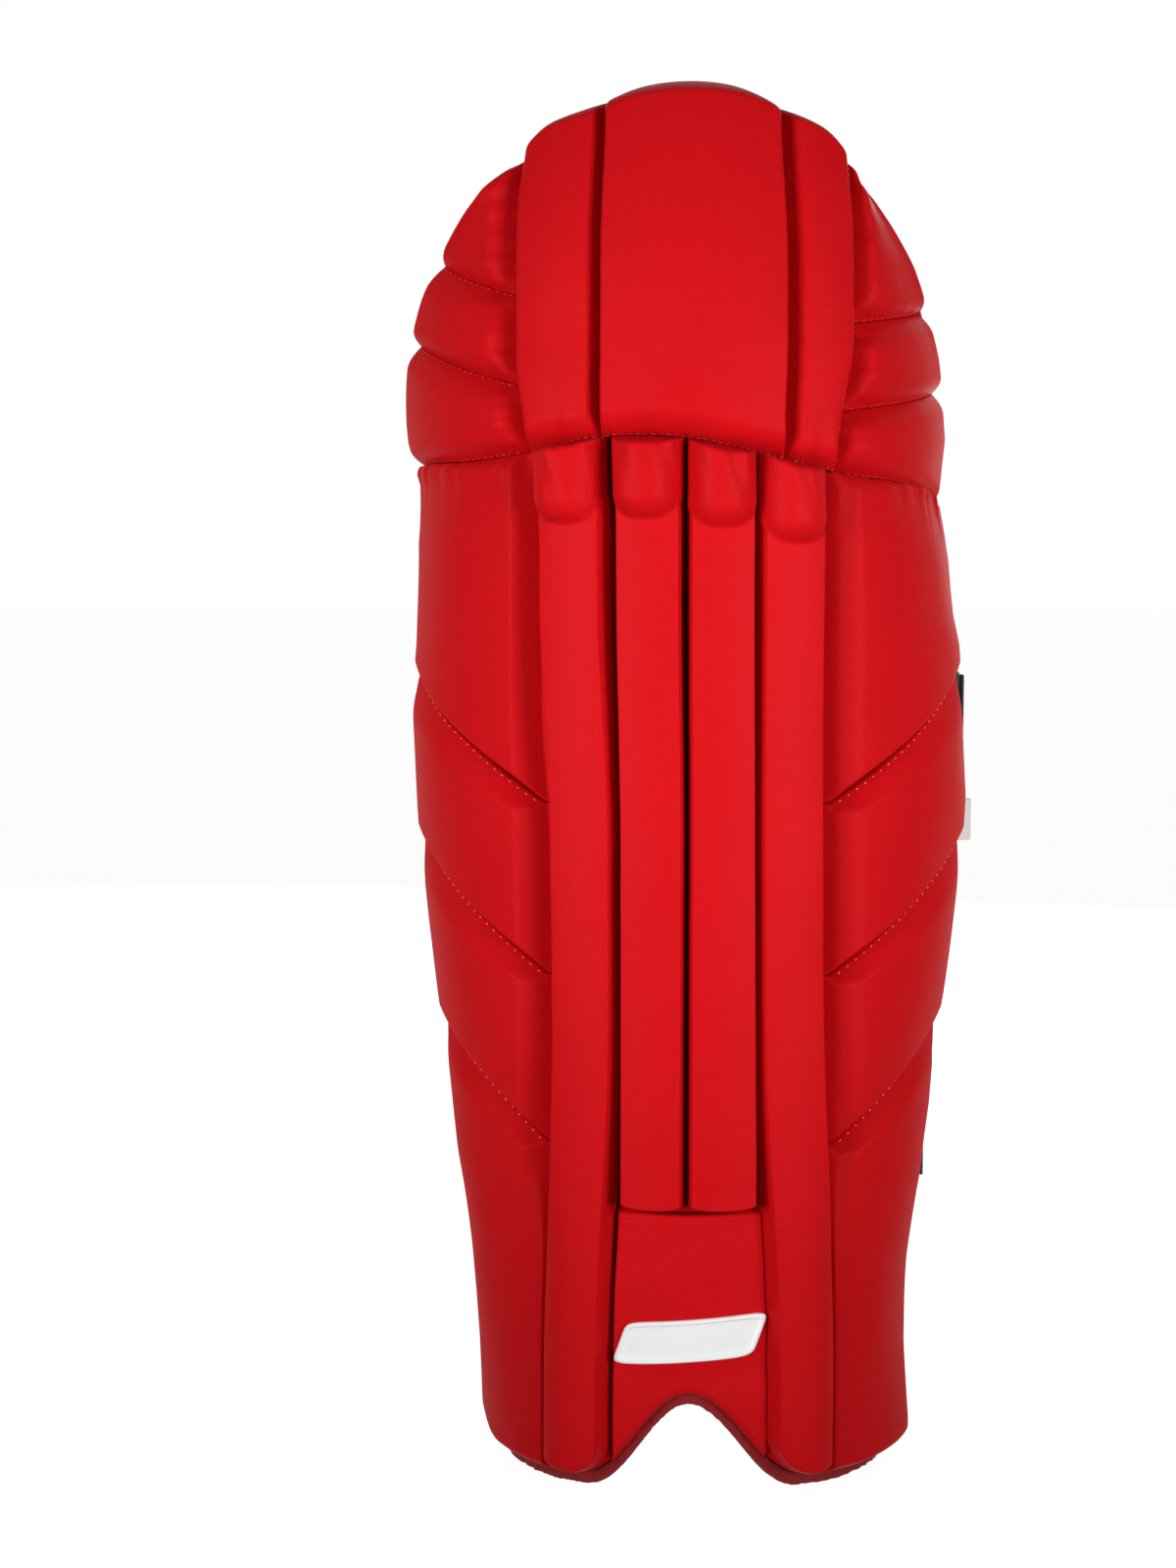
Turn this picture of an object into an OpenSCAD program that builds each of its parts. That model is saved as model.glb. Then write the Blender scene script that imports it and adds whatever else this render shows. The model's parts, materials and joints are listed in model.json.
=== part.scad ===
// Wicket-keeping leg pad: a curved foam shell with a moulded front, standing on its lower rim.
// The pad's front faces -Y, the leg sits on the +Y side, and +Z is up.
// A place on the pad is (s, z, h): s is the arc length from the centre line round the shell,
// z the height above the floor, and h the distance outward from the shell's outer face.

/* [Shell] */
// Height of the pad, floor to the top of the knee section
pad_h = 700; // [660:5:730]
// Height of the sewn knee seam on the centre line
seam_z = 524; // [518:1:530]
// How far the knee seam dips at the wing edges
seam_dip = 19; // [0:1:24]
// How far the knee seam falls towards the outer side, per millimetre along the shell
seam_tilt = 0.06; // [0:0.005:0.06]
// Shell radius round the calf
calf_r = 139; // [132:0.5:146]
// Shell radius round the ankle
ankle_r = 107; // [102:0.5:111]
// Shell radius round the knee
knee_r = 134.5; // [128:0.5:140]
// How far the wings wrap round the leg, in degrees from the centre line
wrap = 75; // [70:0.5:78]
// Thickness of the foam shell
shell_t = 5; // [4:0.5:6]
// Thickness of the lining behind the shell
lining_t = 1.8; // [1:0.2:2.2]
// How far the top of the knee section leans back
knee_lean = 30; // [10:1:40]
// How much fuller the outer side is at the ankle, as a share of its width
ankle_full = 0.045; // [0:0.005:0.05]
// How much slimmer the outer side is at the knee, as a share of its width
knee_slim = 0.035; // [0:0.005:0.04]

/* [Front padding] */
// Width of each shin bar along the shell
bar_w = 31; // [28:0.2:31.6]
// Thickness of the shin bars
bar_t = 20; // [16:0.5:24]
// Thickness of the knee rolls above the bars
roll_t = 27; // [24:0.5:30]
// Thickness of the side wing panels
wing_t = 14; // [10:0.5:16]
// Thickness of the knee panels
knee_t = 20; // [16:0.5:24]
// Thickness of the instep panel
instep_t = 9; // [6:0.5:12]
// Height of the arch cut for the instep
arch_h = 48; // [30:1:52]
// Half width of the instep arch along the shell
arch_w = 55; // [44:1:58]

/* [Straps] */
// Width of both straps
strap_w = 50; // [38:1:52]
// Height of the calf strap's centre line
calf_strap_z = 385; // [378:1:396]
// Height of the ankle strap's centre line
ankle_strap_z = 163; // [155:1:175]
// Thickness of the strap webbing
webbing_t = 2.4; // [1.5:0.1:2.4]

/* [Hidden] */

$fn = 48;
// X of the shin's centre line and Y of the shell's outer face there: they centre the whole pad
centre_x = -4.5;
front_y = -74.5;
// Gap left between neighbouring pieces
gap = 0.4;
// Width of the edge binding
band_w = 4;
// Height at which the knee section is widest, its half arc there, and the top outline's exponent
widest_z = 530;
knee_half = 182;
outline_power = 1.5;
// Half arc of the knee seam
seam_half = 177;
// Half widths along the shell: knee centre panel, knee side panels at the seam and above, wings
centre_s = 40.5;
side_s = 76;
side_s_high = 80.5;
wing_s = 71.5;
// Each wing seam: its height at the groove beside the bars and at the wing's edge
wing_seams = [[349, 413], [263, 326], [177, 232]];
// Each knee wing seam, the same two heights, on the inner side and on the outer side
knee_seams = [[[553, 580], [597, 618]], [[540, 555], [583, 594]]];
// Heights of the ends of the shin bars and the knee rolls
long_bar_z = 9;
short_bar_z = 151;
instep_top_z = 146;
roll_z = 484;
// How far the outer bars splay apart at the ankle
bar_splay = 6.5;
// Distance of the webbing, the tongue and the hook patch outside the strap loop's middle line
webbing_off = 1.6;
tongue_off = -2.2;
hook_off = -0.25;
// Angles round the strap loop from its outer side: ends of the pull tab, hook patch and tongue,
// the joint at the middle of the back, and the joint at the strap's root
tab_end = 4;
tab_hinge = 35;
hook_end = 62;
tongue_end = 64;
mid_back = 96;
root_hinge = 182;
// A loop is [half width, half depth, centre x, centre y, strap height]
calf_loop = [140.4, 55, centre_x + 6.4, front_y + 118, calf_strap_z];
ankle_loop = [117.5, 46, centre_x + 8.5, front_y + 96, ankle_strap_z];

function mix(a, b, t) = a + (b - a)*t;
function clamp01(t) = max(0, min(1, t));
function smooth(t) = let (c = clamp01(t)) c*c*(3 - 2*c);

// Shell radius: ankle to calf, then a little smaller at the knee
function radius(z) = mix(ankle_r, calf_r, smooth((z - 80)/270)) - (calf_r - knee_r)*smooth((z - 380)/120);
function lean(z) = knee_lean*pow(max(0, z - seam_z)/(pad_h - seam_z), 2);
function turn(s, z) = s/radius(z)*180/PI;
// How much wider than a true arc the outer side is, and so how much slimmer the inner side
function fullness(z) = ankle_full*(1 - smooth((z - 100)/350)) - knee_slim*smooth((z - 470)/80);
function on_pad(s, z, h) = let (r = radius(z), a = turn(s, z))
    [centre_x + (r + h)*sin(a)*(1 + sign(s)*fullness(z)), front_y + lean(z) + r - (r + h)*cos(a), z];

// Half arc of the shin section at height z, of the knee section, and its top outline
function shin_edge(z) = radius(z)*(wrap - 4 + 4*smooth((z - 50)/290))*PI/180;
function seam_at(s) = seam_z - seam_dip*pow(s/seam_half, 2) - seam_tilt*s;
function knee_edge(z) = z < widest_z
    ? mix(seam_half, knee_half, smooth((z - 500)/30))
    : knee_half*pow(max(0, 1 - pow((z - widest_z)/(pad_h - widest_z), outline_power)), 1/outline_power);
function knee_top(s) = widest_z
    + (pad_h - widest_z)*pow(max(0, 1 - pow(abs(s)/knee_half, outline_power)), 1/outline_power);
// Lower edge of the pad: the instep arch, two flat feet, and rounded wing corners
function foot_at(s) = abs(s) < arch_w ? arch_h*(1 + cos(180*s/arch_w))/2
    : abs(s) > 106 ? 18*pow((abs(s) - 106)/28, 2) : 0;

// A closed solid between two grids of points: front(u, v) and back(u, v)
module slab(front, back, nu, nv) {
    rows = nu + 1;
    count = rows*(nv + 1);
    cells = [for (j = [0:nv - 1]) for (i = [0:nu - 1]) j*rows + i];
    points = concat([for (j = [0:nv]) for (i = [0:nu]) front(i/nu, j/nv)],
        [for (j = [0:nv]) for (i = [0:nu]) back(i/nu, j/nv)]);
    rim = concat([for (i = [0:nu - 1]) i], [for (j = [0:nv - 1]) j*rows + nu],
        [for (i = [nu:-1:1]) nv*rows + i], [for (j = [nv:-1:1]) j*rows]);
    faces = concat(
        [for (a = cells) [a, a + rows, a + 1]],
        [for (a = cells) [a + 1, a + rows, a + rows + 1]],
        [for (a = cells) [a + count, a + 1 + count, a + rows + count]],
        [for (a = cells) [a + 1 + count, a + rows + 1 + count, a + rows + count]],
        [for (k = [0:len(rim) - 1]) [rim[k], rim[(k + 1)%len(rim)], rim[(k + 1)%len(rim)] + count]],
        [for (k = [0:len(rim) - 1]) [rim[k], rim[(k + 1)%len(rim)] + count, rim[k] + count]]);
    polyhedron(points, faces);
}
// A slab on the pad: place(u, v) gives [s, z], top(u, v) its outer height, and base its inner height
module patch(place, top, base, nu, nv) {
    slab(function(u, v) let (p = place(u, v)) on_pad(p[0], p[1], top(u, v)),
        function(u, v) let (p = place(u, v)) on_pad(p[0], p[1], base), nu, nv);
}

// Ramp from low to 1 over a given distance from an edge
function ramp(distance, width, low = 0.3) = mix(low, 1, clamp01(distance/width));

// ---- shell, stiffener and lining ----
module shin_sheet(outer_h, inner_h, trim, nu, nv) {
    patch(function(u, v)
            let (u2 = 2*u - 1, bottom = foot_at(u2*shin_edge(0)) + band_w + 0.8 + trim,
                z = mix(bottom, seam_at(u2*seam_half) - 0.6 - trim, v))
            [u2*(shin_edge(z) - trim), z],
        function(u, v) outer_h, inner_h, nu, nv);
}
module knee_sheet(outer_h, inner_h, trim, nu, nv) {
    patch(function(u, v)
            let (s = (knee_half - trim)*sin(90*(2*u - 1)),
                z = mix(seam_at(s) + 0.6 + trim, knee_top(s) - band_w - trim, v))
            [s*(z < widest_z ? knee_edge(z)/knee_half : 1), z],
        function(u, v) outer_h, inner_h, nu, nv);
}
module shin_shell() { color("firebrick") shin_sheet(0, -shell_t, 0, 32, 18); }
module knee_shell() { color("firebrick") knee_sheet(0, -shell_t, 0, 32, 8); }
module shin_lining() { color("crimson") shin_sheet(-shell_t - 0.3, -shell_t - 0.3 - lining_t, 2, 32, 14); }
module knee_lining() { color("crimson") knee_sheet(-shell_t - 0.3, -shell_t - 0.3 - lining_t, 2, 32, 6); }
module knee_stiffener() {
    color("white") patch(function(u, v)
            let (s = mix(-34, 34, u)) [s, mix(seam_z + 16, knee_top(s) - 22, v)],
        function(u, v) 2.4, gap, 8, 6);
}

// ---- shin bars, canes and knee rolls ----
// Arc position of bar i: the outer pair splays apart at the ankle
function bar_s(i, z) = (i - 2.5)*bar_w
    + (i == 1 ? -1 : i == 4 ? 1 : 0)*bar_splay*(1 - smooth((z - 60)/150));
function bar_foot(i, u) = (i == 2 || i == 3) ? short_bar_z
    : max(long_bar_z, foot_at(bar_s(i, 0) + (u - 0.5)*bar_w) + band_w + 1);
module shin_bar(i) {
    color("red") patch(function(u, v)
            let (z = mix(bar_foot(i, u), roll_z - gap, v)) [bar_s(i, z) + (u - 0.5)*(bar_w - gap), z],
        function(u, v) let (length = roll_z - bar_foot(i, u))
            bar_t*min(ramp(min(u, 1 - u)*bar_w, 6, 0.4), ramp(v*length, 12, 0.4)),
        6.4, 8, 14);
}
module knee_roll(i) {
    color("red") patch(function(u, v)
            let (s = bar_s(i, roll_z) + (u - 0.5)*(bar_w - gap)) [s, mix(roll_z, seam_at(s) - 1.2, v)],
        function(u, v) roll_t*min(ramp(min(u, 1 - u)*bar_w, 10, 0.35), ramp((1 - v)*40, 16, 0.3)),
        6.4, 6, 6);
}
// Straight canes, two behind each bar, on the shell's face
module cane_rods() {
    cane_r = 2.1;
    color("burlywood") for (i = [1:4]) for (side = [-7, 7]) {
        low = on_pad(bar_s(i, 200) + side, short_bar_z + 12, 3.5);
        high = on_pad(bar_s(i, roll_z) + side, roll_z - 14, 3.5);
        run = high - low;
        translate(low) rotate([0, acos(run[2]/norm(run)), atan2(run[1], run[0])])
            cylinder(r = cane_r, h = norm(run));
    }
}

// ---- side wings of the shin ----
function wing_inner(z) = wing_s + 6*(1 - smooth((z - 60)/200));
// Seam n along the wing, u running from the groove to the edge; 0 is the knee seam, 4 the foot
function wing_seam(side, n, u) = n == 0 ? seam_at(side*mix(wing_s, seam_half, u)) - 1.2
    : n == 4 ? foot_at(mix(wing_s, shin_edge(0), u)) + band_w + 4
    : mix(wing_seams[n - 1][0], wing_seams[n - 1][1], u);
module wing_panel(side, n) {
    color("red") patch(function(u0, v)
            let (u = side > 0 ? u0 : 1 - u0,
                z = mix(wing_seam(side, n, u) + gap, wing_seam(side, n - 1, u) - gap, v))
            [side*mix(wing_inner(z), shin_edge(z) - 1.2, u), z],
        function(u0, v) let (u = side > 0 ? u0 : 1 - u0)
            wing_t*min(ramp(u*100, 12), ramp((1 - v)*85, 13), ramp(v*85, 3, 0.7), ramp((1 - u)*100, 6, 0.85)),
        gap, 8, 8);
}

// ---- instep panel and its badge ----
// Half width between the outer bars
function bar_edge(z) = bar_s(4, z) - bar_w/2 - gap;
module instep_panel() {
    color("red") patch(function(u, v)
            let (bottom = foot_at((2*u - 1)*bar_edge(0)) + band_w + 1, z = mix(bottom, instep_top_z, v))
            [(2*u - 1)*bar_edge(z), z],
        function(u, v) instep_t*ramp(min(v, 1 - v)*100, 8, 0.4), gap, 10, 6);
}
module badge() {
    slant = 0.35;
    color("white") patch(function(u, v)
            [2 + mix(-31, 31, u) + slant*(v - 0.5)*25, mix(71, 96, v) + 4*(u - 0.5)],
        function(u, v) instep_t + 2.4, instep_t + gap, 8, 2);
}

// ---- knee section ----
// Boundary between the side panels and the knee wings
function side_edge(z) = mix(side_s, side_s_high, smooth((z - seam_z)/50));
module knee_panel(from, to, thick) {
    color("red") patch(function(u, v)
            let (z0 = seam_at(mix(from(seam_z), to(seam_z), u)) + 1.2,
                z1 = knee_top(mix(from(pad_h), to(pad_h), u)) - 1.5, z = mix(z0, z1, v))
            [mix(from(z), to(z), u), z],
        function(u, v) let (across = abs(to(pad_h) - from(pad_h))*min(u, 1 - u), length = 170)
            thick*min(ramp(across, 7, 0.4), ramp(v*length, 16, 0.25), ramp((1 - v)*length, 26, 0.3)),
        3, 10, 8);
}
module knee_side_panel(side) {
    inner = function(z) side*(centre_s + gap);
    outer = function(z) side*side_edge(z);
    knee_panel(side > 0 ? inner : outer, side > 0 ? outer : inner, knee_t - 2);
}
// Wing 1 is the top one
module knee_wing(side, n) {
    seams = knee_seams[side > 0 ? 1 : 0];
    k = 3 - n;
    groove = [seam_at(side*side_s) + 1.2, seams[0][0], seams[1][0], 662];
    edge = [seam_at(side*seam_half) + 1.2, seams[0][1], seams[1][1], 655];
    color("red") patch(function(u0, v)
            let (u = side > 0 ? u0 : 1 - u0,
                z0 = mix(groove[k] + gap, groove[k + 1] - gap, v),
                z1 = mix(edge[k] + gap, edge[k + 1] - gap, v))
            [side*mix(side_edge(z0) + 1, knee_edge(z1) - 1.5, u), mix(z0, z1, u)],
        function(u0, v) let (u = side > 0 ? u0 : 1 - u0)
            wing_t*min(ramp(u*100, 10, 0.4), ramp((1 - v)*50, 10), ramp(v*50, 10), ramp((1 - u)*100, 8, 0.75)),
        3, 8, 6);
}

// ---- bolsters against the leg ----
bolster_h = -shell_t - lining_t - 1.1;
module shin_bolster(side) {
    color("firebrick") patch(function(u, v) [side*37 + (u - 0.5)*30, mix(150, 456, v)],
        function(u, v) bolster_h, bolster_h - 14, 4, 10);
}
module knee_bolster(z0, z1) {
    color("firebrick") patch(function(u, v) [mix(-74, 74, u), mix(z0, z1, v)],
        function(u, v) bolster_h, bolster_h - 16, 16, 2);
}

// ---- bindings: a band along the edge of the shell ----
module side_binding(side) {
    color("darkred") patch(function(u0, v)
            let (u = side > 0 ? u0 : 1 - u0, z = mix(20, seam_at(side*seam_half) - 0.8, v))
            [side*(shin_edge(z) + 0.3 + u*band_w), z],
        function(u, v) 2, -shell_t - lining_t - 0.4, 1, 22);
}
module instep_binding() {
    reach = shin_edge(10) - 1;
    color("darkred") patch(function(u, v)
            let (s = reach*(2*u - 1)) [s, foot_at(s) + v*(band_w - 0.3)],
        function(u, v) 3.5, -shell_t - lining_t - 0.4, 56, 1);
}
module knee_binding() {
    color("darkred") patch(function(u, v)
            let (s = (knee_half - 0.5)*sin(90*(2*u - 1))) [s, knee_top(s) - band_w + 0.3 + v*(band_w - 0.3)],
        function(u, v) 2, -shell_t - lining_t - 0.4, 44, 1);
}

// ---- folded label sewn in the outer side seam ----
module size_label() {
    label_h = 22;
    label_z = 320;
    label_l = 16;
    spot = on_pad(shin_edge(label_z) + band_w + 2.4, label_z, 1);
    color("white") translate([spot[0], spot[1], label_z]) rotate([0, 0, 25])
        linear_extrude(label_h) difference() {
            hull() {
                translate([0, -1]) square([1, 2]);
                translate([label_l, 0]) circle(r = 2);
            }
            hull() {
                translate([2, 0]) circle(r = 0.3, $fn = 16);
                translate([label_l, 0]) circle(r = 1.3, $fn = 24);
            }
        }
}

// ---- straps: bands that follow a loop round the back of the leg ----
function loop_point(loop, t, off) = [loop[2] + (loop[0] + off)*cos(t), loop[3] + (loop[1] + off)*sin(t)];
function arc_points(loop, from, to, off) = let (n = max(2, ceil(abs(to - from)/3)))
    [for (i = [0:n]) loop_point(loop, mix(from, to, i/n), off)];
module band(points, thick, z, width) {
    last = len(points) - 1;
    normals = [for (i = [0:last])
        let (d = points[min(i + 1, last)] - points[max(i - 1, 0)]) [d[1], -d[0]]/norm(d)];
    translate([0, 0, z - width/2]) linear_extrude(width) polygon(concat(
        [for (i = [0:last]) points[i] + normals[i]*thick/2],
        [for (i = [last:-1:0]) points[i] - normals[i]*thick/2]));
}
// The short piece that lofts from the sloping wing edge to the upright start of a band
module band_root(loop, side, t, off, past_edge, edge_h) {
    start = function(z) on_pad(side*(shin_edge(z) + past_edge), z, edge_h);
    finish = loop_point(loop, t, off);
    place = function(u, v, away) let (z = loop[4] + (v - 0.5)*strap_w, a = start(z),
        p = [mix(a[0], finish[0], u), mix(a[1], finish[1], u)], d = [finish[0] - a[0], finish[1] - a[1]]/
        norm([finish[0] - a[0], finish[1] - a[1]])) [p[0] + d[1]*away*side, p[1] - d[0]*away*side, z];
    outer = function(u, v) place(side > 0 ? u : 1 - u, v, webbing_t/2);
    inner = function(u, v) place(side > 0 ? u : 1 - u, v, -webbing_t/2);
    color("black") slab(outer, inner, 3, 4);
}
module strap_root(loop) {
    band_root(loop, -1, root_hinge + 1.8, webbing_off, band_w + 1, -3.2);
}
module strap_elastic(loop) {
    color("black") band(arc_points(loop, mid_back + 0.2, root_hinge - 0.2, webbing_off), webbing_t, loop[4], strap_w);
}
module strap_webbing(loop) {
    color("black") band(arc_points(loop, tab_hinge + 0.3, mid_back - 0.2, webbing_off), webbing_t, loop[4], strap_w);
}
module hook_patch(loop) {
    color("dimgray") band(arc_points(loop, tab_hinge + 2, hook_end, hook_off), 0.7, loop[4], strap_w - 6);
}
module pull_tab(loop) {
    color("black") band(arc_points(loop, tab_end, tab_hinge - 0.3, webbing_off), webbing_t, loop[4], strap_w - 4);
}
module strap_tongue(loop) {
    color("black") band(arc_points(loop, -2, tongue_end, tongue_off), webbing_t, loop[4], strap_w);
}
module tongue_root(loop) {
    band_root(loop, 1, -3.2, tongue_off, -0.2, 4.1);
}
module strap_patches() {
    color("black") for (side = [-1, 1]) for (z = [calf_strap_z, ankle_strap_z])
        patch(function(u, v)
                let (u2 = side > 0 ? u : 1 - u, height = z + (v - 0.5)*(strap_w + 8))
                [side*(shin_edge(height) - mix(28, 4, u2)), height],
            function(u, v) bolster_h, bolster_h - 1.2, 3, 2);
}

shin_shell();
shin_lining();
knee_shell();
knee_lining();
knee_stiffener();
cane_rods();
for (i = [1:4]) {
    shin_bar(i);
    knee_roll(i);
    wing_panel(-1, i);
    wing_panel(1, i);
}
instep_panel();
badge();
knee_panel(function(z) -centre_s, function(z) centre_s, knee_t);  // knee_centre_panel
knee_side_panel(-1);  // knee_side_panel_inner
knee_side_panel(1);  // knee_side_panel_outer
for (n = [1:3]) {
    knee_wing(-1, n);
    knee_wing(1, n);
}
shin_bolster(-1);  // shin_bolster_inner
shin_bolster(1);  // shin_bolster_outer
knee_bolster(470, 507);  // knee_bolster_lower
knee_bolster(542, 579);  // knee_bolster_upper
side_binding(-1);  // side_binding_inner
side_binding(1);  // side_binding_outer
instep_binding();
knee_binding();
strap_patches();
size_label();
strap_root(calf_loop);  // calf_strap_root
strap_elastic(calf_loop);  // calf_strap_elastic
strap_webbing(calf_loop);  // calf_strap_webbing
hook_patch(calf_loop);  // calf_hook_patch
pull_tab(calf_loop);  // calf_pull_tab
strap_tongue(calf_loop);  // calf_strap_tongue
strap_root(ankle_loop);  // ankle_strap_root
strap_elastic(ankle_loop);  // ankle_strap_elastic
strap_webbing(ankle_loop);  // ankle_strap_webbing
hook_patch(ankle_loop);  // ankle_hook_patch
pull_tab(ankle_loop);  // ankle_pull_tab
strap_tongue(ankle_loop);  // ankle_strap_tongue
tongue_root(calf_loop);  // calf_tongue_root
tongue_root(ankle_loop);  // ankle_tongue_root
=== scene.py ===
"""The looks of a wicket-keeping leg pad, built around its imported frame.

A place on the pad is (s, z, h), in millimetres: s is the arc length from the centre line round the
shell, positive on the outer side, z the height above the floor, and h the distance outward from
the shell's face. Every padded piece is a height h worked out over its own patch of (s, z)."""

import json
import math
from collections import namedtuple

import bpy
import numpy as np
from mathutils import Matrix, Vector
from mathutils.bvhtree import BVHTree


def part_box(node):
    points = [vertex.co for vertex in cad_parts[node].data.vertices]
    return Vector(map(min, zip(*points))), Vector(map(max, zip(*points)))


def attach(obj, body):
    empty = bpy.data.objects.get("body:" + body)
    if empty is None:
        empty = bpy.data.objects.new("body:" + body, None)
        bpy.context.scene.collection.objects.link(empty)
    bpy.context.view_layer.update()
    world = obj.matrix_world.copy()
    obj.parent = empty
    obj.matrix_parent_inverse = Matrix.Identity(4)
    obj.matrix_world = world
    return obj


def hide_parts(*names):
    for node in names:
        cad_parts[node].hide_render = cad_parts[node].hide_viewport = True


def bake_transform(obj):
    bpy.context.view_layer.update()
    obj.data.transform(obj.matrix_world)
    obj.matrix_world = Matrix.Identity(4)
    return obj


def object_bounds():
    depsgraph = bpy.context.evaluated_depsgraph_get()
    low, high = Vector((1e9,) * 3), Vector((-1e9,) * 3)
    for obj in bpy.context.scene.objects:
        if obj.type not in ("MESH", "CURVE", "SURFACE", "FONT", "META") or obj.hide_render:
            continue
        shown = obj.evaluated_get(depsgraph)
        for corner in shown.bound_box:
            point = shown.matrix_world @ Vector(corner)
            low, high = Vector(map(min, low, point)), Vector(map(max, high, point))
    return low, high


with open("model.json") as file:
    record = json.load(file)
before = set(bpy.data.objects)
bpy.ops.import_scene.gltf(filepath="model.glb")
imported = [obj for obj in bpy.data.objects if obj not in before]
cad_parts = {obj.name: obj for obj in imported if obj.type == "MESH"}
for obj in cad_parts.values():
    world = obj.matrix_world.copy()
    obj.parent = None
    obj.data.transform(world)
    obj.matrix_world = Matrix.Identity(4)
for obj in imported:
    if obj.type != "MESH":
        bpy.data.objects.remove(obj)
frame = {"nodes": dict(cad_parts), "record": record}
cad_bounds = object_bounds()
record = frame["record"]

# ---- driving sizes, in millimetres ----
MM = 0.001
SIDES = {-1: "inner", 1: "outer"}
FRONT_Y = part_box("shin_shell")[0].y / MM
CENTRE_X = next(m for m in record["mounts"] if m["name"] == "leg_seat")["pos_m"][0] / MM
PAD_H = cad_bounds[1].z / MM
SEAM_Z = next(j for j in record["behaviour"]["joints"] if j["name"] == "knee_flex")["pos_m"][2] / MM
ANKLE_R, CALF_R, KNEE_R = 107.0, 139.0, 134.5
KNEE_LEAN = 30.0
ANKLE_FULL, KNEE_SLIM = 0.045, 0.035
SHELL_T, LINING_T = 5.0, 1.8
BAR_W, BAR_T, BAR_SPLAY = 31.0, 20.0, 6.5
BAR_DRIFT = (-4.2, -1.6, -0.7, 0.3)
SHORT_BAR_Z, LONG_BAR_Z, INSTEP_TOP_Z = 149.8, 8.0, 148.6
# a knee roll: its length, the height it starts from and rises by, and the lengths of its two ends
ROLL_L, ROLL_LOW, ROLL_RISE, ROLL_CAP, ROLL_TOP = 42.0, 7.5, 24.5, 15.0, 7.5
# height at which the bars are sewn down along the knee seam
SEWN_H = 6.4
# how far above the rim the covers' lower ends stay
BAR_FOOT, WING_FOOT, INSTEP_FOOT = 8.0, 5.6, 5.2
WING_T, KNEE_T, INSTEP_T = 13.6, 18.5, 9.0
# where the wings' seams start above the ankle, and the middle line of the instep panel
WING_INNER, INSTEP_S = 71.5, 1.5
# the badge: its width, its height and where its middle is
BADGE_W, BADGE_T, BADGE_Z = 65.0, 22.0, 84.0
SIDE_S, SIDE_S_HIGH = 76.0, 80.5
KNEE_HALF, SEAM_HALF, WIDEST_Z = 182.0, 177.0, 530.0
OUTLINE_POWER = 1.5
ARCH_H, ARCH_W, ARCH_S, ARCH_FLARE = 47.3, 55.0, 2.5, 2.2
BAND_W = 4.0
# how far inside the knee's outline its tape runs
TAPE_INSET = 1.8
# the covers' undersides: over the shell, and where they lie on the edge tape
UNDERSIDE, OVER_TAPE = 0.3, 3.0
WING_SEAMS = ((349, 413), (263, 326), (177, 232))
KNEE_SEAMS = {-1: ((553, 580), (597, 618)), 1: ((540, 555), (583, 594))}
BACK_H = -SHELL_T - LINING_T - 0.3
SEAM_BEND = 28.0
# thickness of the padding along the outer edges: (height, thickness) for the inner and outer side
EDGE_THICK = {
    -1: ((20, 11.5), (60, 13), (95, 15.5), (160, 18), (215, 15), (255, 13), (300, 10.7),
         (345, 11), (390, 12.2), (425, 10.5), (478, 11.4), (508, 7.8), (530, 11.5), (565, 14),
         (600, 15), (622, 14), (655, 18)),
    1: ((20, 14), (60, 10.8), (105, 10.2), (150, 12.9), (185, 12), (212, 9.5), (240, 10.5),
        (300, 10.6), (345, 12.7), (385, 11.5), (425, 10.4), (440, 8), (468, 6.5), (500, 2.4),
        (532, 7.6), (572, 7.6), (590, 6), (615, 6), (640, 3), (656, 1.5)),
}


# ---- small mathematics on whole arrays ----
def mix(a, b, t):
    return a + (b - a) * t


def smooth(t):
    """3t^2 - 2t^3 between 0 and 1."""
    t = np.clip(t, 0, 1)
    return t * t * (3 - 2 * t)


def soft_min(k, first, *others):
    """Smaller of several heights, with the corner between two of them rounded over a reach of k."""
    for other in others:
        close = np.maximum(k - np.abs(first - other), 0)
        first = np.minimum(first, other) - close * close / (4 * k)
    return first


def soft_max(k, first, *others):
    return -soft_min(k, -first, *(-other for other in others))


def stations(length, fine, coarse, low=8.0, high=8.0):
    """Distances from 0 to length: fine steps within low of the start and high of the end."""
    low, high = min(low, length / 3), min(high, length / 3)
    middle = max(2, round((length - low - high) / coarse))
    parts = [np.linspace(0, low, max(2, round(low / fine)), endpoint=False),
             np.linspace(low, length - high, middle, endpoint=False),
             np.linspace(length - high, length, max(2, round(high / fine)) + 1)]
    return np.concatenate(parts)


def waves(x, y, seed, wavelength, size):
    """Gentle unevenness: a third of the sum of seven sine waves of random heading and phase."""
    rng = np.random.default_rng(seed)
    total = 0
    for _ in range(7):
        heading, phase = rng.uniform(0, 2 * math.pi, 2)
        length = wavelength * rng.uniform(0.6, 1.7)
        run = x * math.cos(heading) + y * math.sin(heading)
        total = total + np.sin(2 * math.pi * run / length + phase)
    return size * total / 3


def puckers(along, distance, seed, size, reach, wavelength):
    """Small gathers beside a seam: waves along it that die out with the distance from it."""
    line = waves(along, 0 * along, seed, wavelength, size)
    return line * np.exp(-np.maximum(distance, 0) / reach)


def run_along(path):
    """Distance run from the start of a path to each of its points."""
    return np.concatenate([[0], np.cumsum(np.linalg.norm(np.diff(path, axis=0), axis=1))])


def right_of(path):
    """Unit vectors that point squarely to the right of a path, one at each of its points."""
    along = np.gradient(path, axis=0)
    along /= np.linalg.norm(along, axis=1, keepdims=True)
    return np.stack([along[:, 1], -along[:, 0]], 1)


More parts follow.
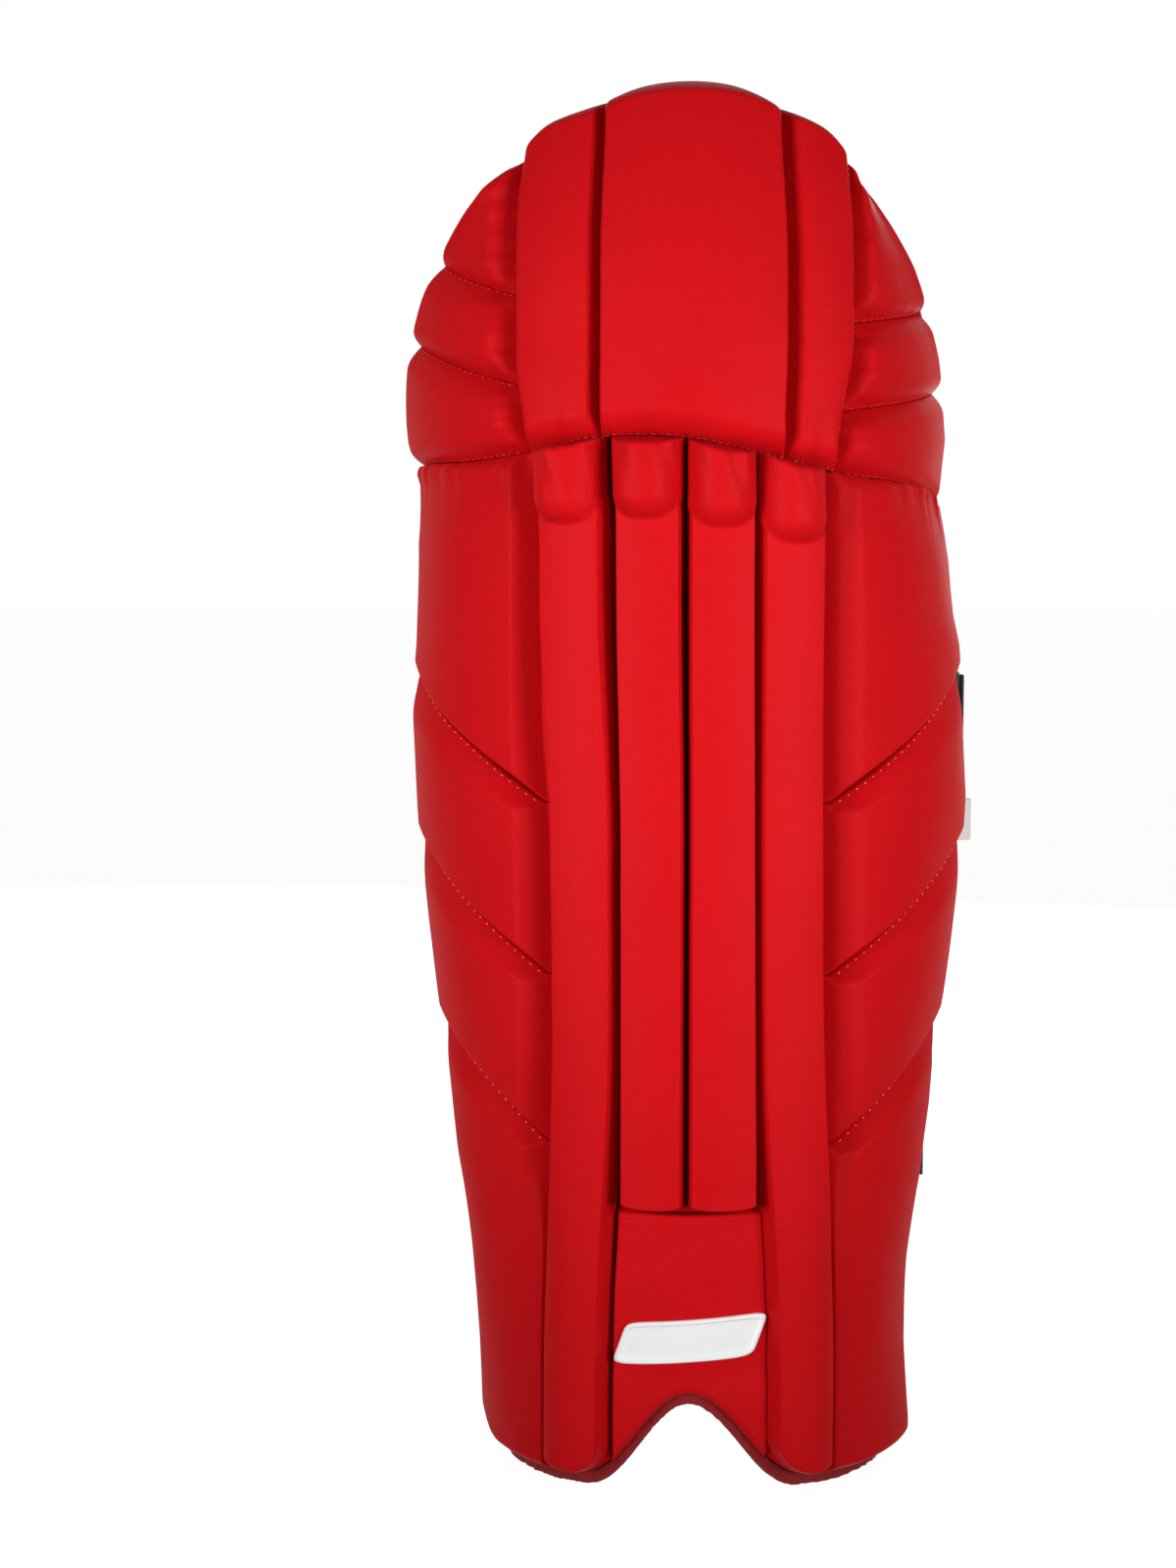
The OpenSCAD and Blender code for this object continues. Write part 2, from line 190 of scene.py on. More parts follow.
def squircle(turn, power):
    """x and y round a square of half width 1 with rounded corners, sharper for a higher power."""
    x, y = np.cos(turn), np.sin(turn)
    reach = (np.abs(x) ** power + np.abs(y) ** power) ** (-1 / power)
    return reach * x, reach * y


# ---- the pad's surface ----
def radius(z):
    """Radius of the shell's arc at a height."""
    shin = mix(ANKLE_R, CALF_R, smooth((z - 80) / 270))
    return shin - (CALF_R - KNEE_R) * smooth((z - 380) / 120)


def fullness(z):
    """Share by which the pad reaches further on the outer side and less far on the inner side."""
    return ANKLE_FULL * (1 - smooth((z - 100) / 350)) - KNEE_SLIM * smooth((z - 470) / 80)


def on_pad(s, z, h):
    """Points in metres: an arc round the leg, which leans back above the knee seam."""
    s, z, h = np.broadcast_arrays(np.asarray(s, float), np.asarray(z, float), np.asarray(h, float))
    r = radius(z)
    lean = KNEE_LEAN * (np.maximum(z - SEAM_Z, 0) / (PAD_H - SEAM_Z)) ** 2
    x = CENTRE_X + (r + h) * np.sin(s / r) * (1 + np.sign(s) * fullness(z))
    y = FRONT_Y + lean + r - (r + h) * np.cos(s / r)
    return np.stack([x, y, z], -1) * MM


def shin_edge(z):
    """Arc length from the centre line to the shin section's outer edges."""
    return radius(z) * np.radians(71 + 4 * smooth((z - 50) / 290))


def seam_at(s):
    """The knee seam: a low arch, and a wave that puts its crest a little to the inner side."""
    wave = 4 * np.cos(2 * math.pi * (s + 15) / 175) - 1.3
    return SEAM_Z - 19 * (s / SEAM_HALF) ** 2 - 0.06 * s + wave


def arched(share):
    """The knee's outline above its widest place: from 1 at a share of 0 to 0 at a share of 1."""
    return (1 - np.clip(share, 0, 1) ** OUTLINE_POWER) ** (1 / OUTLINE_POWER)


def knee_edge(z):
    """Arc length from the centre line to the knee section's outer edges."""
    high = KNEE_HALF * arched((z - WIDEST_Z) / (PAD_H - WIDEST_Z))
    return np.where(z < WIDEST_Z, mix(SEAM_HALF, KNEE_HALF, smooth((z - 500) / 30)), high)


def knee_top(s):
    """Height of the knee section's outline above a place on the seam."""
    return WIDEST_Z + (PAD_H - WIDEST_Z) * arched(np.abs(s) / KNEE_HALF)


def foot_at(s):
    """Lower edge: a cosine arch over the instep, two flat feet, and corners that curve up more on
    the inner side."""
    off = np.abs(s - ARCH_S)
    arch = ARCH_H * (1 + np.cos(math.pi * np.minimum(off, ARCH_W) / ARCH_W)) / 2
    flare = ARCH_FLARE * smooth((80 - off) / 26)
    inner = 18 * (np.maximum(-s - 106, 0) / 28) ** 2
    outer = 1.4 * (np.maximum(s - 122, 0) / 10) ** 2
    return arch + flare + inner + outer


def bar_centre(i, z):
    """The outer bars splay at the ankle, and each bar drifts a little at the knee."""
    side = {1: -1, 4: 1}.get(i, 0)
    splay = side * BAR_SPLAY * (1 - smooth((z - 60) / 180))
    drift = BAR_DRIFT[i - 1] * smooth((z - 330) / 130)
    return (i - 2.5) * BAR_W + splay + drift + 0.7 * (i in (2, 3))


def wing_inner(z):
    """Distance from the centre line at which a wing's slanting seams start."""
    return WING_INNER + 6 * (1 - smooth((z - 60) / 200))


def groove_foot(side, z):
    """Where the floor of the groove beside the outer bar ends and the wing's bevel starts."""
    if side > 0:
        return 72.3 + 0 * z
    return 74.4 + 3.6 * smooth((z - 330) / 70) + 2.6 * (1 - smooth((z - 180) / 70))


def side_edge(z, side):
    """The sewn groove between a side panel of the knee and the lobes: it bows outward and turns in
    again at the top."""
    if side > 0:
        return 74 + 9.5 * smooth((z - SEAM_Z + 8) / 60) - 3.5 * smooth((z - 620) / 55)
    return mix(SIDE_S, SIDE_S_HIGH, smooth((z - SEAM_Z) / 50)) - 4.5 * smooth((z - 635) / 42)


def centre_edge(z, side):
    """The groove between the centre panel and a side panel of the knee."""
    if side > 0:
        return 46.6 + 1.2 * smooth((z - SEAM_Z) / 50) - 3.4 * smooth((z - 610) / 80)
    return 39.0 - 1.6 * smooth((z - 610) / 80)


def edge_thick(side, z):
    """Thickness of the padding along an outer edge of the pad."""
    at, thick = np.array(EDGE_THICK[side]).T
    return np.interp(z, at, thick)


# ---- meshes ----
def grid_quads(rows, cols):
    a = (np.arange(rows - 1)[:, None] * cols + np.arange(cols - 1)).ravel()
    return np.stack([a, a + 1, a + cols + 1, a + cols], 1)


def placed(name, data):
    """A new object in the scene that holds the data."""
    made = bpy.data.objects.new(name, data)
    bpy.context.scene.collection.objects.link(made)
    return made


def new_piece(name, points, faces, uv=None):
    """A mesh object at the origin with smooth faces; uv is one pair per point, in metres."""
    mesh = bpy.data.meshes.new(name)
    mesh.from_pydata(np.asarray(points).tolist(), [], [list(map(int, f)) for f in faces])
    mesh.shade_smooth()
    if uv is not None:
        layer = mesh.uv_layers.new(name="UVMap")
        corner = np.empty(len(mesh.loops), np.int32)
        mesh.loops.foreach_get("vertex_index", corner)
        layer.data.foreach_set("uv", np.asarray(uv, np.float32)[corner].ravel())
    return placed(name, mesh)


def slab_faces(rows, cols):
    """Faces of two stacked grids and of the rim that joins their borders."""
    count = rows * cols
    quads = grid_quads(rows, cols)
    index = np.arange(count).reshape(rows, cols)
    rim = np.concatenate([index[0, :-1], index[:-1, -1], index[-1, :0:-1], index[:0:-1, 0]])
    after = np.roll(rim, -1)
    sides = np.stack([rim, rim + count, after + count, after], 1)
    return np.concatenate([quads, quads[:, ::-1] + count, sides])


def slab(name, outer, inner):
    """A closed solid between two grids of points."""
    points = np.concatenate([outer.reshape(-1, 3), inner.reshape(-1, 3)])
    return new_piece(name, points, slab_faces(*outer.shape[:2]))


def pad_slab(name, s, z, h, base):
    """A padded cover: the grid at height h outside, the same grid at height base inside."""
    return slab(name, on_pad(s, z, h), on_pad(s, z, base))


def over_tape(above):
    """Height of a cover's underside: it lifts to lie on the edge tape near the lower rim."""
    return mix(OVER_TAPE, UNDERSIDE, smooth((above - 3.2) / 2.0))


def tube_faces(rows, cols):
    """Quads round a tube of rings, and its two end faces."""
    index = np.arange(rows * cols).reshape(rows, cols)
    after = np.roll(index, -1, 1)
    quads = np.stack([index[:-1], after[:-1], after[1:], index[1:]], -1).reshape(-1, 4)
    return quads, np.stack([index[0, ::-1], index[-1]])


def swept(name, rings, uv=None):
    """A tube through rings of points, (along, around, 3), with flat ends."""
    quads, ends = tube_faces(*rings.shape[:2])
    pairs = None if uv is None else uv.reshape(-1, 2)
    return new_piece(name, rings.reshape(-1, 3), [*quads, *ends], pairs)


# ---- how a finished piece belongs to the object ----
def bend(low, high, start, end):
    """The two bodies and two points of a bend, kept as a tuple: low at the start point, high at the
    end point.
    """
    return low, high, start, end


KNEE_BEND = bend("shin_section", "knee_section", (0, FRONT_Y * MM, (SEAM_Z - SEAM_BEND) * MM),
                 (0, FRONT_Y * MM, (SEAM_Z + SEAM_BEND) * MM))


def belongs(piece, material, body, nodes=()):
    """Gives a piece its material, and its body when that is given by name; a bend between two is
    not applied, the piece's transform is only baked in.
    """
    piece.data.materials.append(material)
    if isinstance(body, str):
        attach(piece, body)
    else:
        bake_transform(piece)
    if nodes:
        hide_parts(*nodes)
    return piece


# ---- shader building ----
def node(tree, kind, inputs=None, **settings):
    """A shader node with its settings, and each input either linked or set."""
    made = tree.nodes.new(kind)
    for key, value in settings.items():
        setattr(made, key, value)
    for key, value in (inputs or {}).items():
        if isinstance(value, bpy.types.NodeSocket):
            tree.links.new(value, made.inputs[key])
        else:
            made.inputs[key].default_value = value
    return made


def maths(tree, operation, a, b=0.0):
    return node(tree, "ShaderNodeMath", {0: a, 1: b}, operation=operation).outputs[0]


def object_place(tree):
    return node(tree, "ShaderNodeTexCoord").outputs["Object"]


def noise(tree, place, scale, detail, **more):
    """Value of a noise texture; more are its other inputs."""
    inputs = {"Vector": place, "Scale": scale, "Detail": detail, **more}
    return node(tree, "ShaderNodeTexNoise", inputs).outputs[0]


def new_group(name, inputs, outputs):
    """An empty shader node group; inputs and outputs are (name, socket type, default)."""
    tree = bpy.data.node_groups.new(name, "ShaderNodeTree")
    for label, kind, default in inputs:
        made = tree.interface.new_socket(name=label, in_out="INPUT", socket_type=kind)
        if default is not None:
            made.default_value = default
    for label, kind in outputs:
        tree.interface.new_socket(name=label, in_out="OUTPUT", socket_type=kind)
    return tree, tree.nodes.new("NodeGroupInput"), tree.nodes.new("NodeGroupOutput")


def make_leather_grain():
    """Fine pebble grain: rounded cells over a finer noise, and a slow drift of tone."""
    tree, given, out = new_group(
        "fine_leather_grain",
        [("Cells per metre", "NodeSocketFloat", 900.0)],
        [("Height", "NodeSocketFloat"), ("Tone", "NodeSocketFloat")])
    place = object_place(tree)
    scale = given.outputs["Cells per metre"]
    cells = node(tree, "ShaderNodeTexVoronoi", {"Vector": place, "Scale": scale, "Smoothness": 0.6},
                 feature="SMOOTH_F1")
    fine = noise(tree, place, maths(tree, "MULTIPLY", scale, 0.55), 3.0)
    cell_h = maths(tree, "SUBTRACT", 1.0, cells.outputs["Distance"])
    height = maths(tree, "ADD", maths(tree, "MULTIPLY", cell_h, 0.6),
                   maths(tree, "MULTIPLY", fine, 0.5))
    tree.links.new(height, out.inputs["Height"])
    tree.links.new(noise(tree, place, 16.0, 4.0, Roughness=0.6), out.inputs["Tone"])
    return tree


def make_weave():
    """Plain weave: two trains of threads that pass over each other in a chequer."""
    tree, given, out = new_group(
        "thread_weave",
        [("Place", "NodeSocketVector", None), ("Threads per metre", "NodeSocketFloat", 900.0),
         ("Lengthwise share", "NodeSocketFloat", 1.0)],
        [("Height", "NodeSocketFloat"), ("Thread", "NodeSocketFloat")])
    parts = node(tree, "ShaderNodeSeparateXYZ", {0: given.outputs["Place"]})
    pitch = maths(tree, "MULTIPLY", given.outputs["Threads per metre"], math.pi)
    across = maths(tree, "SINE", maths(tree, "MULTIPLY", parts.outputs[0], pitch))
    long_pitch = maths(tree, "MULTIPLY", pitch, given.outputs["Lengthwise share"])
    along = maths(tree, "SINE", maths(tree, "MULTIPLY", parts.outputs[1], long_pitch))
    over = maths(tree, "MULTIPLY", across, along)
    height = maths(tree, "ADD", maths(tree, "ABSOLUTE", across),
                   maths(tree, "MULTIPLY", over, 0.35))
    tree.links.new(height, out.inputs["Height"])
    tree.links.new(maths(tree, "ABSOLUTE", along), out.inputs["Thread"])
    return tree


LEATHER_GRAIN = make_leather_grain()
WEAVE = make_weave()


def new_material(name, roughness, sheen=0.0, sheen_roughness=0.5, specular=0.5,
                 sheen_tint=(1, 1, 1)):
    """A material with its Principled shader; the constants stay on the shader's own sockets."""
    material = bpy.data.materials.new(name)
    material.use_nodes = True
    shader = material.node_tree.nodes["Principled BSDF"]
    settings = {"Roughness": roughness, "Sheen Weight": sheen, "Sheen Roughness": sheen_roughness,
                "Specular IOR Level": specular, "Sheen Tint": (*sheen_tint, 1)}
    for key, value in settings.items():
        shader.inputs[key].default_value = value
    return material, material.node_tree, shader


def shade(tree, shader, tone, dark, light, height, strength, distance, rough=None):
    """Links a two-colour tone, a bump height and, if given, a roughness range by tone."""
    ramp = node(tree, "ShaderNodeMix", {0: tone, 6: (*dark, 1), 7: (*light, 1)}, data_type="RGBA")
    tree.links.new(ramp.outputs[2], shader.inputs["Base Color"])
    bump = node(tree, "ShaderNodeBump",
                {"Height": height, "Strength": strength, "Distance": distance})
    tree.links.new(bump.outputs[0], shader.inputs["Normal"])
    if rough:
        span = node(tree, "ShaderNodeMapRange", {0: tone, 3: rough[0], 4: rough[1]})
        tree.links.new(span.outputs[0], shader.inputs["Roughness"])


def leather(name, dark, light, rough=(0.46, 0.56)):
    """Matte leather: the grain group drives tone, roughness and bump."""
    material, tree, shader = new_material(name, rough[0], specular=0.04)
    grain = node(tree, "ShaderNodeGroup", node_tree=LEATHER_GRAIN)
    shade(tree, shader, grain.outputs["Tone"], dark, light, grain.outputs["Height"], 0.75, 0.0003,
          rough)
    return material


def brushed_cloth(name, dark, light, strands=700.0, sheen=0.35):
    """Short brushed nap: stretched noise for the fibres over a slow mottle."""
    material, tree, shader = new_material(name, 0.9, sheen, 0.6, 0.25, (1.0, 0.6, 0.6))
    place = object_place(tree)
    nap = noise(tree, place, strands, 4.0, Distortion=1.5)
    shade(tree, shader, noise(tree, place, 30.0, 5.0), dark, light, nap, 0.6, 0.0005)
    return material


def woven(name, dark, light, threads, lengthwise, rough=(0.7, 0.82), strength=0.7, distance=0.0004):
    """Threads on the piece's own UV map, measured in metres: u across the band and v along it."""
    material, tree, shader = new_material(name, rough[0], 0.1, 0.5, 0.35)
    place = node(tree, "ShaderNodeUVMap", uv_map="UVMap").outputs[0]
    weave = node(tree, "ShaderNodeGroup", node_tree=WEAVE)
    tree.links.new(place, weave.inputs["Place"])
    weave.inputs["Threads per metre"].default_value = threads
    weave.inputs["Lengthwise share"].default_value = lengthwise
    thread, height = weave.outputs["Thread"], weave.outputs["Height"]
    shade(tree, shader, thread, dark, light, height, strength, distance, rough)
    return material


def plain_grained(name, dark, light, scale, rough):
    """Moulded or spun stuff: one noise drives tone, roughness and a shallow bump."""
    material, tree, shader = new_material(name, rough[0])
    tone = noise(tree, object_place(tree), scale, 5.0)
    shade(tree, shader, tone, dark, light, tone, 0.2, 0.0002, rough)
    return material


def split_cane(name):
    """Cane: fibres drawn out along Z, pale straw between darker lines."""
    material, tree, shader = new_material(name, 0.5)
    drawn = node(tree, "ShaderNodeMapping",
                 {"Vector": object_place(tree), "Scale": (1400, 1400, 30)})
    tone = noise(tree, drawn.outputs[0], 1.0, 3.0)
    shade(tree, shader, tone, (0.30, 0.17, 0.06), (0.66, 0.48, 0.24), tone, 0.4, 0.0003)
    return material


RED = leather("red_pu_leather", (0.53, 0.0034, 0.0062), (0.61, 0.0062, 0.0098))
# stitch thread: its tone differs at random from stitch to stitch, and the pale pink end of that
# tone is a painted glint
THREAD = plain_grained("red_bonded_thread_painted_glints", (0.09, 0.002, 0.003), (0.62, 0.08, 0.07), 420.0,
                       (0.35, 0.45))
# thread for the wings' slanting seams: its pale colour is a painted glint on the stitches
PAINTED_GLINT_THREAD = plain_grained("red_thread_painted_glints", (0.40, 0.03, 0.03), (1.0, 0.48, 0.45), 420.0, (0.3, 0.4))
CORE = leather("shell_skin", (0.40, 0.003, 0.006), (0.46, 0.005, 0.009), rough=(0.5, 0.6))
LINING = brushed_cloth("red_brushed_lining", (0.25, 0.004, 0.008), (0.36, 0.007, 0.012))
BOLSTER = brushed_cloth("red_bolster_cloth", (0.29, 0.005, 0.009), (0.40, 0.008, 0.013), 500.0)
BINDING = woven("dark_red_binding", (0.19, 0.003, 0.006), (0.30, 0.005, 0.009), 1100.0, 1.0,
                strength=0.5)
BADGE = plain_grained("white_badge_rubber", (0.89, 0.91, 0.91), (0.93, 0.95, 0.95), 120.0,
                      (0.38, 0.46))
LABEL = woven("white_satin_label", (0.70, 0.70, 0.67), (0.80, 0.80, 0.77), 2600.0, 0.25,
              (0.35, 0.45), 0.3, 0.0001)
ELASTIC = woven("black_ribbed_elastic", (0.010, 0.010, 0.011), (0.026, 0.026, 0.028), 620.0, 0.5)
WEBBING = woven("black_webbing", (0.010, 0.010, 0.011), (0.022, 0.022, 0.024), 800.0, 1.0)
LOOP_TAPE = brushed_cloth("black_loop_tape", (0.012, 0.012, 0.013), (0.024, 0.024, 0.026), 1300.0,
                          0.2)
HOOK_TAPE = woven("black_hook_tape", (0.008, 0.008, 0.009), (0.03, 0.03, 0.032), 700.0, 1.0,
                  strength=1.0)
PATCH = leather("black_sewn_patch", (0.010, 0.010, 0.011), (0.020, 0.020, 0.021))
CANE = split_cane("raw_split_cane")
STIFFENER = plain_grained("pale_plastic_sheet", (0.70, 0.70, 0.68), (0.78, 0.78, 0.76), 60.0,
                          (0.4, 0.5))


# ---- padded covers ----
COVERS = {}


def cover(key, name, s, z, h, base, body, nodes, side=1):
    """A red padded cover, kept under its key; side -1 turns its grid over to the inner side."""
    if side < 0:
        s, z, h, base = (array[:, ::-1] for array in (-s, z, h, base + 0 * z))
    COVERS[key] = belongs(pad_slab(name, s, z, h, base), RED, body, nodes)


# ---- shin bars and the knee rolls over their upper ends ----
def bar_cover(i):
    """Bar i and its roll. The bar is a flat top with steep walls, min(wall, top) rounded at the
    corner. The roll is sqrt(1 - (x/half)^2.5 - lower^2.1) of its rise: a half round whose lower end
    closes as a quarter ball. Its upper end is drawn down into the knee seam with soft folds."""
    half = BAR_W / 2 - 0.1
    short = i in (2, 3)
    across = stations(2 * half, 0.3, 1.6, 5, 5) - half
    seam = seam_at(bar_centre(i, SEAM_Z) + across) - 0.1
    if short:
        foot = SHORT_BAR_Z - 1.2 * np.cos(across / half * 1.2)
    else:
        foot = foot_at(bar_centre(i, 0) + across) + BAR_FOOT
    length = SEAM_Z - LONG_BAR_Z
    up = stations(length, 0.55, 4.5, 16, 70) / length
    z = mix(foot, seam, up[:, None])
    x = np.broadcast_to(across, z.shape)
    # the half of the first bar beside its wing is wider, the more so at the ankle
    wider = (0.05 + 0.08 * (1 - smooth((z - 90) / 80))) * (x < 0) if i == 1 else 0
    s = bar_centre(i, z) + x * (1 + wider)
    from_side, from_foot, to_seam = half - np.abs(x), z - foot, seam - z
    tip = seam_at(bar_centre(i, SEAM_Z)) - ROLL_L
    # the bar sinks under its roll, whose sides run right down into the grooves
    top = BAR_T + 1.2 * (1 - (x / half) ** 2) - 7.0 * smooth((z - tip - 5) / 17)
    if not short:
        outward = np.maximum(x if i == 4 else -x, 0) / half
        top = top - 4.5 * outward ** 2 * (1 - smooth((z - 110) / 70))
    h = soft_min(6.0, 4.0 + 8.0 * from_side, top)
    corner = 6.5 * np.abs(x / half) ** 4
    if short:
        h = soft_min(5.0, h, 4.5 + 5.0 * (from_foot - 0.4 * corner))
    else:
        h = soft_min(6.0, h, 4.4 + 4.0 * np.maximum(from_foot - corner, 0))
    lower = np.clip((tip + ROLL_CAP - z) / ROLL_CAP, 0, 1)
    bump = np.maximum(1 - np.abs(x / (half + 0.2)) ** 2.5 - lower ** 2.1, 0) ** 0.5
    roll = ROLL_LOW + ROLL_RISE * bump * (1 - 0.06 * x / half)
    h = np.where(z > tip - 1, soft_max(3.5, h, roll), h)
    # the roll's upper end rounds over into the seam as a quarter ellipse
    over = 1 - (1 - np.clip(to_seam / ROLL_TOP, 0, 1)) ** 2
    h = soft_min(3.0, h, SEWN_H + 27.0 * np.sqrt(over))
    h = h + waves(s, z, 20 + i, 70, 0.25)
    inside = smooth(from_side / 4) * smooth(to_seam / 3)
    h = h + puckers(s + 0.25 * z, to_seam, 30 + i, 2.2, 12.0, 11.0) * inside
    h = h + puckers(s, to_seam, 35 + i, 0.7, 3.0, 4.5) * smooth(from_side / 3)
    nodes = (f"shin_bar_{i}", f"knee_roll_{i}")
    cover(f"bar{i}", f"shin_bar_cover_{i}", s, z, h, OVER_TAPE, KNEE_BEND, nodes)


# ---- side wings of the shin ----
def wing_seam(side, n, share):
    """Height of seam n of a wing, at a share of the way from the groove to the edge."""
    if n == 0:
        return seam_at(side * mix(WING_INNER, SEAM_HALF, share)) - 0.1
    if n == 4:
        return foot_at(side * mix(WING_INNER, shin_edge(0), share)) + WING_FOOT + 4.0 * share ** 8
    groove, edge = WING_SEAMS[n - 1]
    return mix(groove, edge, share)


def wing_cover(side, n):
    """A wing panel. Beside the bar it rises from the groove's floor in a slope and then a gentler
    bevel; under the seam above it another bevel, wider towards the outer edge, leads up to the
    plateau, which ends below in a sharp lip. The height is the rounded minimum of these faces."""
    span, tall = 118.0, 100.0
    out = stations(span, 0.6, 3.0, 30, 12) / span
    up = stations(tall, 0.5, 2.4, 10, 26) / tall
    share_out, share_up = np.meshgrid(out, up)
    # the place of a point depends on its own height, so it is found in a few rounds
    z = np.full(share_out.shape, (436.0, 306.0, 220.0, 90.0)[n - 1])
    bar = 4 if side > 0 else 1
    for _ in range(6):
        beside = np.abs(bar_centre(bar, z)) + BAR_W / 2 + 0.1
        beside = beside + (0.8 + 1.2 * (1 - smooth((z - 90) / 80)) if side < 0 else 0)
        s = mix(beside, shin_edge(z) - 0.1, share_out)
        share = np.clip((s - wing_inner(z)) / (shin_edge(z) - wing_inner(z)), 0, 1)
        low, high = wing_seam(side, n, share), wing_seam(side, n - 1, share)
        z = mix(low + (0.25 if n < 4 else 0), high - 0.25, share_up)
    # the groove beside the bar fills up towards the foot
    shallow = 1 - smooth((z - 100) / 75)
    wall = mix(groove_foot(side, z), beside + 2.4, shallow)
    ridge = 84.0 - 1.0 * shallow
    from_wall, from_edge = s - wall, shin_edge(z) - s
    below, above = high - z, z - low
    puff = np.sin(math.pi * np.clip(share, 0, 1)) * np.sin(math.pi * np.clip(share_up, 0, 1))
    plateau = mix(WING_T, edge_thick(side, z) + 0.9, smooth(share * 1.05)) + 1.2 * puff
    floor = 2.2 + 1.8 * shallow
    step = mix(8.6, 13.4, shallow)
    bevel = (WING_T + 0.8 - step) / (ridge - wall)
    h = soft_min(1.4, step + mix(1.35, 3.4, shallow) * from_wall, step + bevel * from_wall, plateau)
    near = smooth(share * 1.1)
    if n == 1:
        h = soft_min(6.0, h, 7.2 + 1.4 * below)
    else:
        crease = mix(3.6, plateau - 3.4, share ** 0.8)
        h = soft_min(1.3, h, crease + (plateau - crease) / mix(9.0, 21.0, share) * below)
        h = soft_min(1.0, h, mix(2.6, plateau - 5.5, share) + 3.0 * below)
    if n == 4:
        h = soft_min(6.0, h, 4.2 + 2.2 * above)
    else:
        lip = mix(2.4, plateau - 6.8, share ** 1.3) + mix(1.6, 2.0, near) * above
        h = soft_min(mix(2.4, 5.0, near), h, lip)
    h = soft_min(6.0, h, 2.6 + 3.4 * from_edge)
    h = np.maximum(h, np.where(from_wall < 0.4, floor, 1.2))
    h = h + waves(s, z, 40 + 5 * n + side, 80, 0.3)
    if n == 1:
        h = h + puckers(s, below, 60 + side, 1.3, 9.0, 10.0) * (from_edge > 3)
    base = over_tape(above) if n == 4 else UNDERSIDE + 0 * z
    h = np.maximum(h, base + 0.6)
    word = SIDES[side]
    body = KNEE_BEND if n == 1 else "shin_section"
    nodes = (f"{word}_wing_panel_{n}",)
    cover(f"{word}{n}", f"{word}_wing_cover_{n}", s, z, h, base, body, nodes, side=side)


# ---- instep panel and the blank badge on it ----
def instep_half(z):
    return (bar_centre(4, z) - bar_centre(1, z)) / 2 - BAR_W / 2 + 0.2


def instep_height(s, z):
    """A flat panel with a small round at its upper edge and a slight sag across its middle."""
    half = instep_half(z)
    foot = foot_at(s) + INSTEP_FOOT
    h = soft_min(1.5, 4.5 + 2.5 * (INSTEP_TOP_Z - z), INSTEP_T + 0 * z,
                 4.5 + 3.0 * (half - np.abs(s - INSTEP_S)))
    h = soft_min(4.0, h, 4.2 + 1.6 * (z - foot))
    sag = 0.9 * np.exp(-((z - 66 - 0.004 * s * s) / 7) ** 2)
    return h - sag + waves(s, z, 90, 50, 0.35)


def instep_cover():
    up = stations(100, 0.8, 3.0, 14, 12)[:, None] / 100
    across = 2 * stations(76, 0.7, 2.2, 8, 8)[None, :] / 76 - 1
    foot = foot_at(across * instep_half(0)) + INSTEP_FOOT
    z = mix(foot, INSTEP_TOP_Z - 1.8 * np.cos(across * math.pi / 2), up)
    s = across * instep_half(z)
    base = over_tape(z - foot)
    cover("instep", "instep_cover", s, z, instep_height(s, z), base, "shin_section",
          ("instep_panel",))


def badge_plate():
    """A blank slanted plate: a rounded parallelogram whose rings step up over a rim, then down
    to a flat field inside it, and close on its middle line."""
    turn = np.linspace(0, 2 * math.pi, 120, endpoint=False)
    x, y = squircle(turn, 9)
    rings = [(0, -1.2), (0, 1.3), (0.25, 1.75), (0.8, 2), (1.6, 2), (2.1, 1.75), (2.4, 1.2),
             (3, 1), (5, 1), (7, 1), (9, 1), (10.9, 1)]
    points = []
    for inset, lift in rings:
        # the rim keeps its width: the outline shrinks by the same distance everywhere
        u, v = x * (BADGE_W / 2 - inset), y * (BADGE_T / 2 - inset)
        s, z = INSTEP_S + u + 0.34 * v, BADGE_Z + v + 0.085 * u
        points.append(on_pad(s, z, INSTEP_T + lift))
    piece = swept("badge_plate", np.array(points)[:, ::-1])
    belongs(piece, BADGE, "shin_section", ("badge",))


# ---- knee section ----
def panel_top(part, s):
    """Upper outline of the knee panels: a flat arc over the centre, a shoulder on each side."""
    if part == "centre":
        u = s - 1
        return 700.1 - 0.004 * u ** 2 - 1.38e-6 * u ** 4
    if part == "inner":
        t = np.maximum(-39.5 - s, 0)
        return soft_min(22.0, 690.4 - 0.19 * t - 0.0035 * t ** 2, 655 + 2.2 * (s + 83.3))
    t = np.maximum(s - 46, 0)
    return soft_min(22.0, 687.4 - 0.16 * t - 0.0085 * t ** 2, 652 + 2.2 * (87 - s))


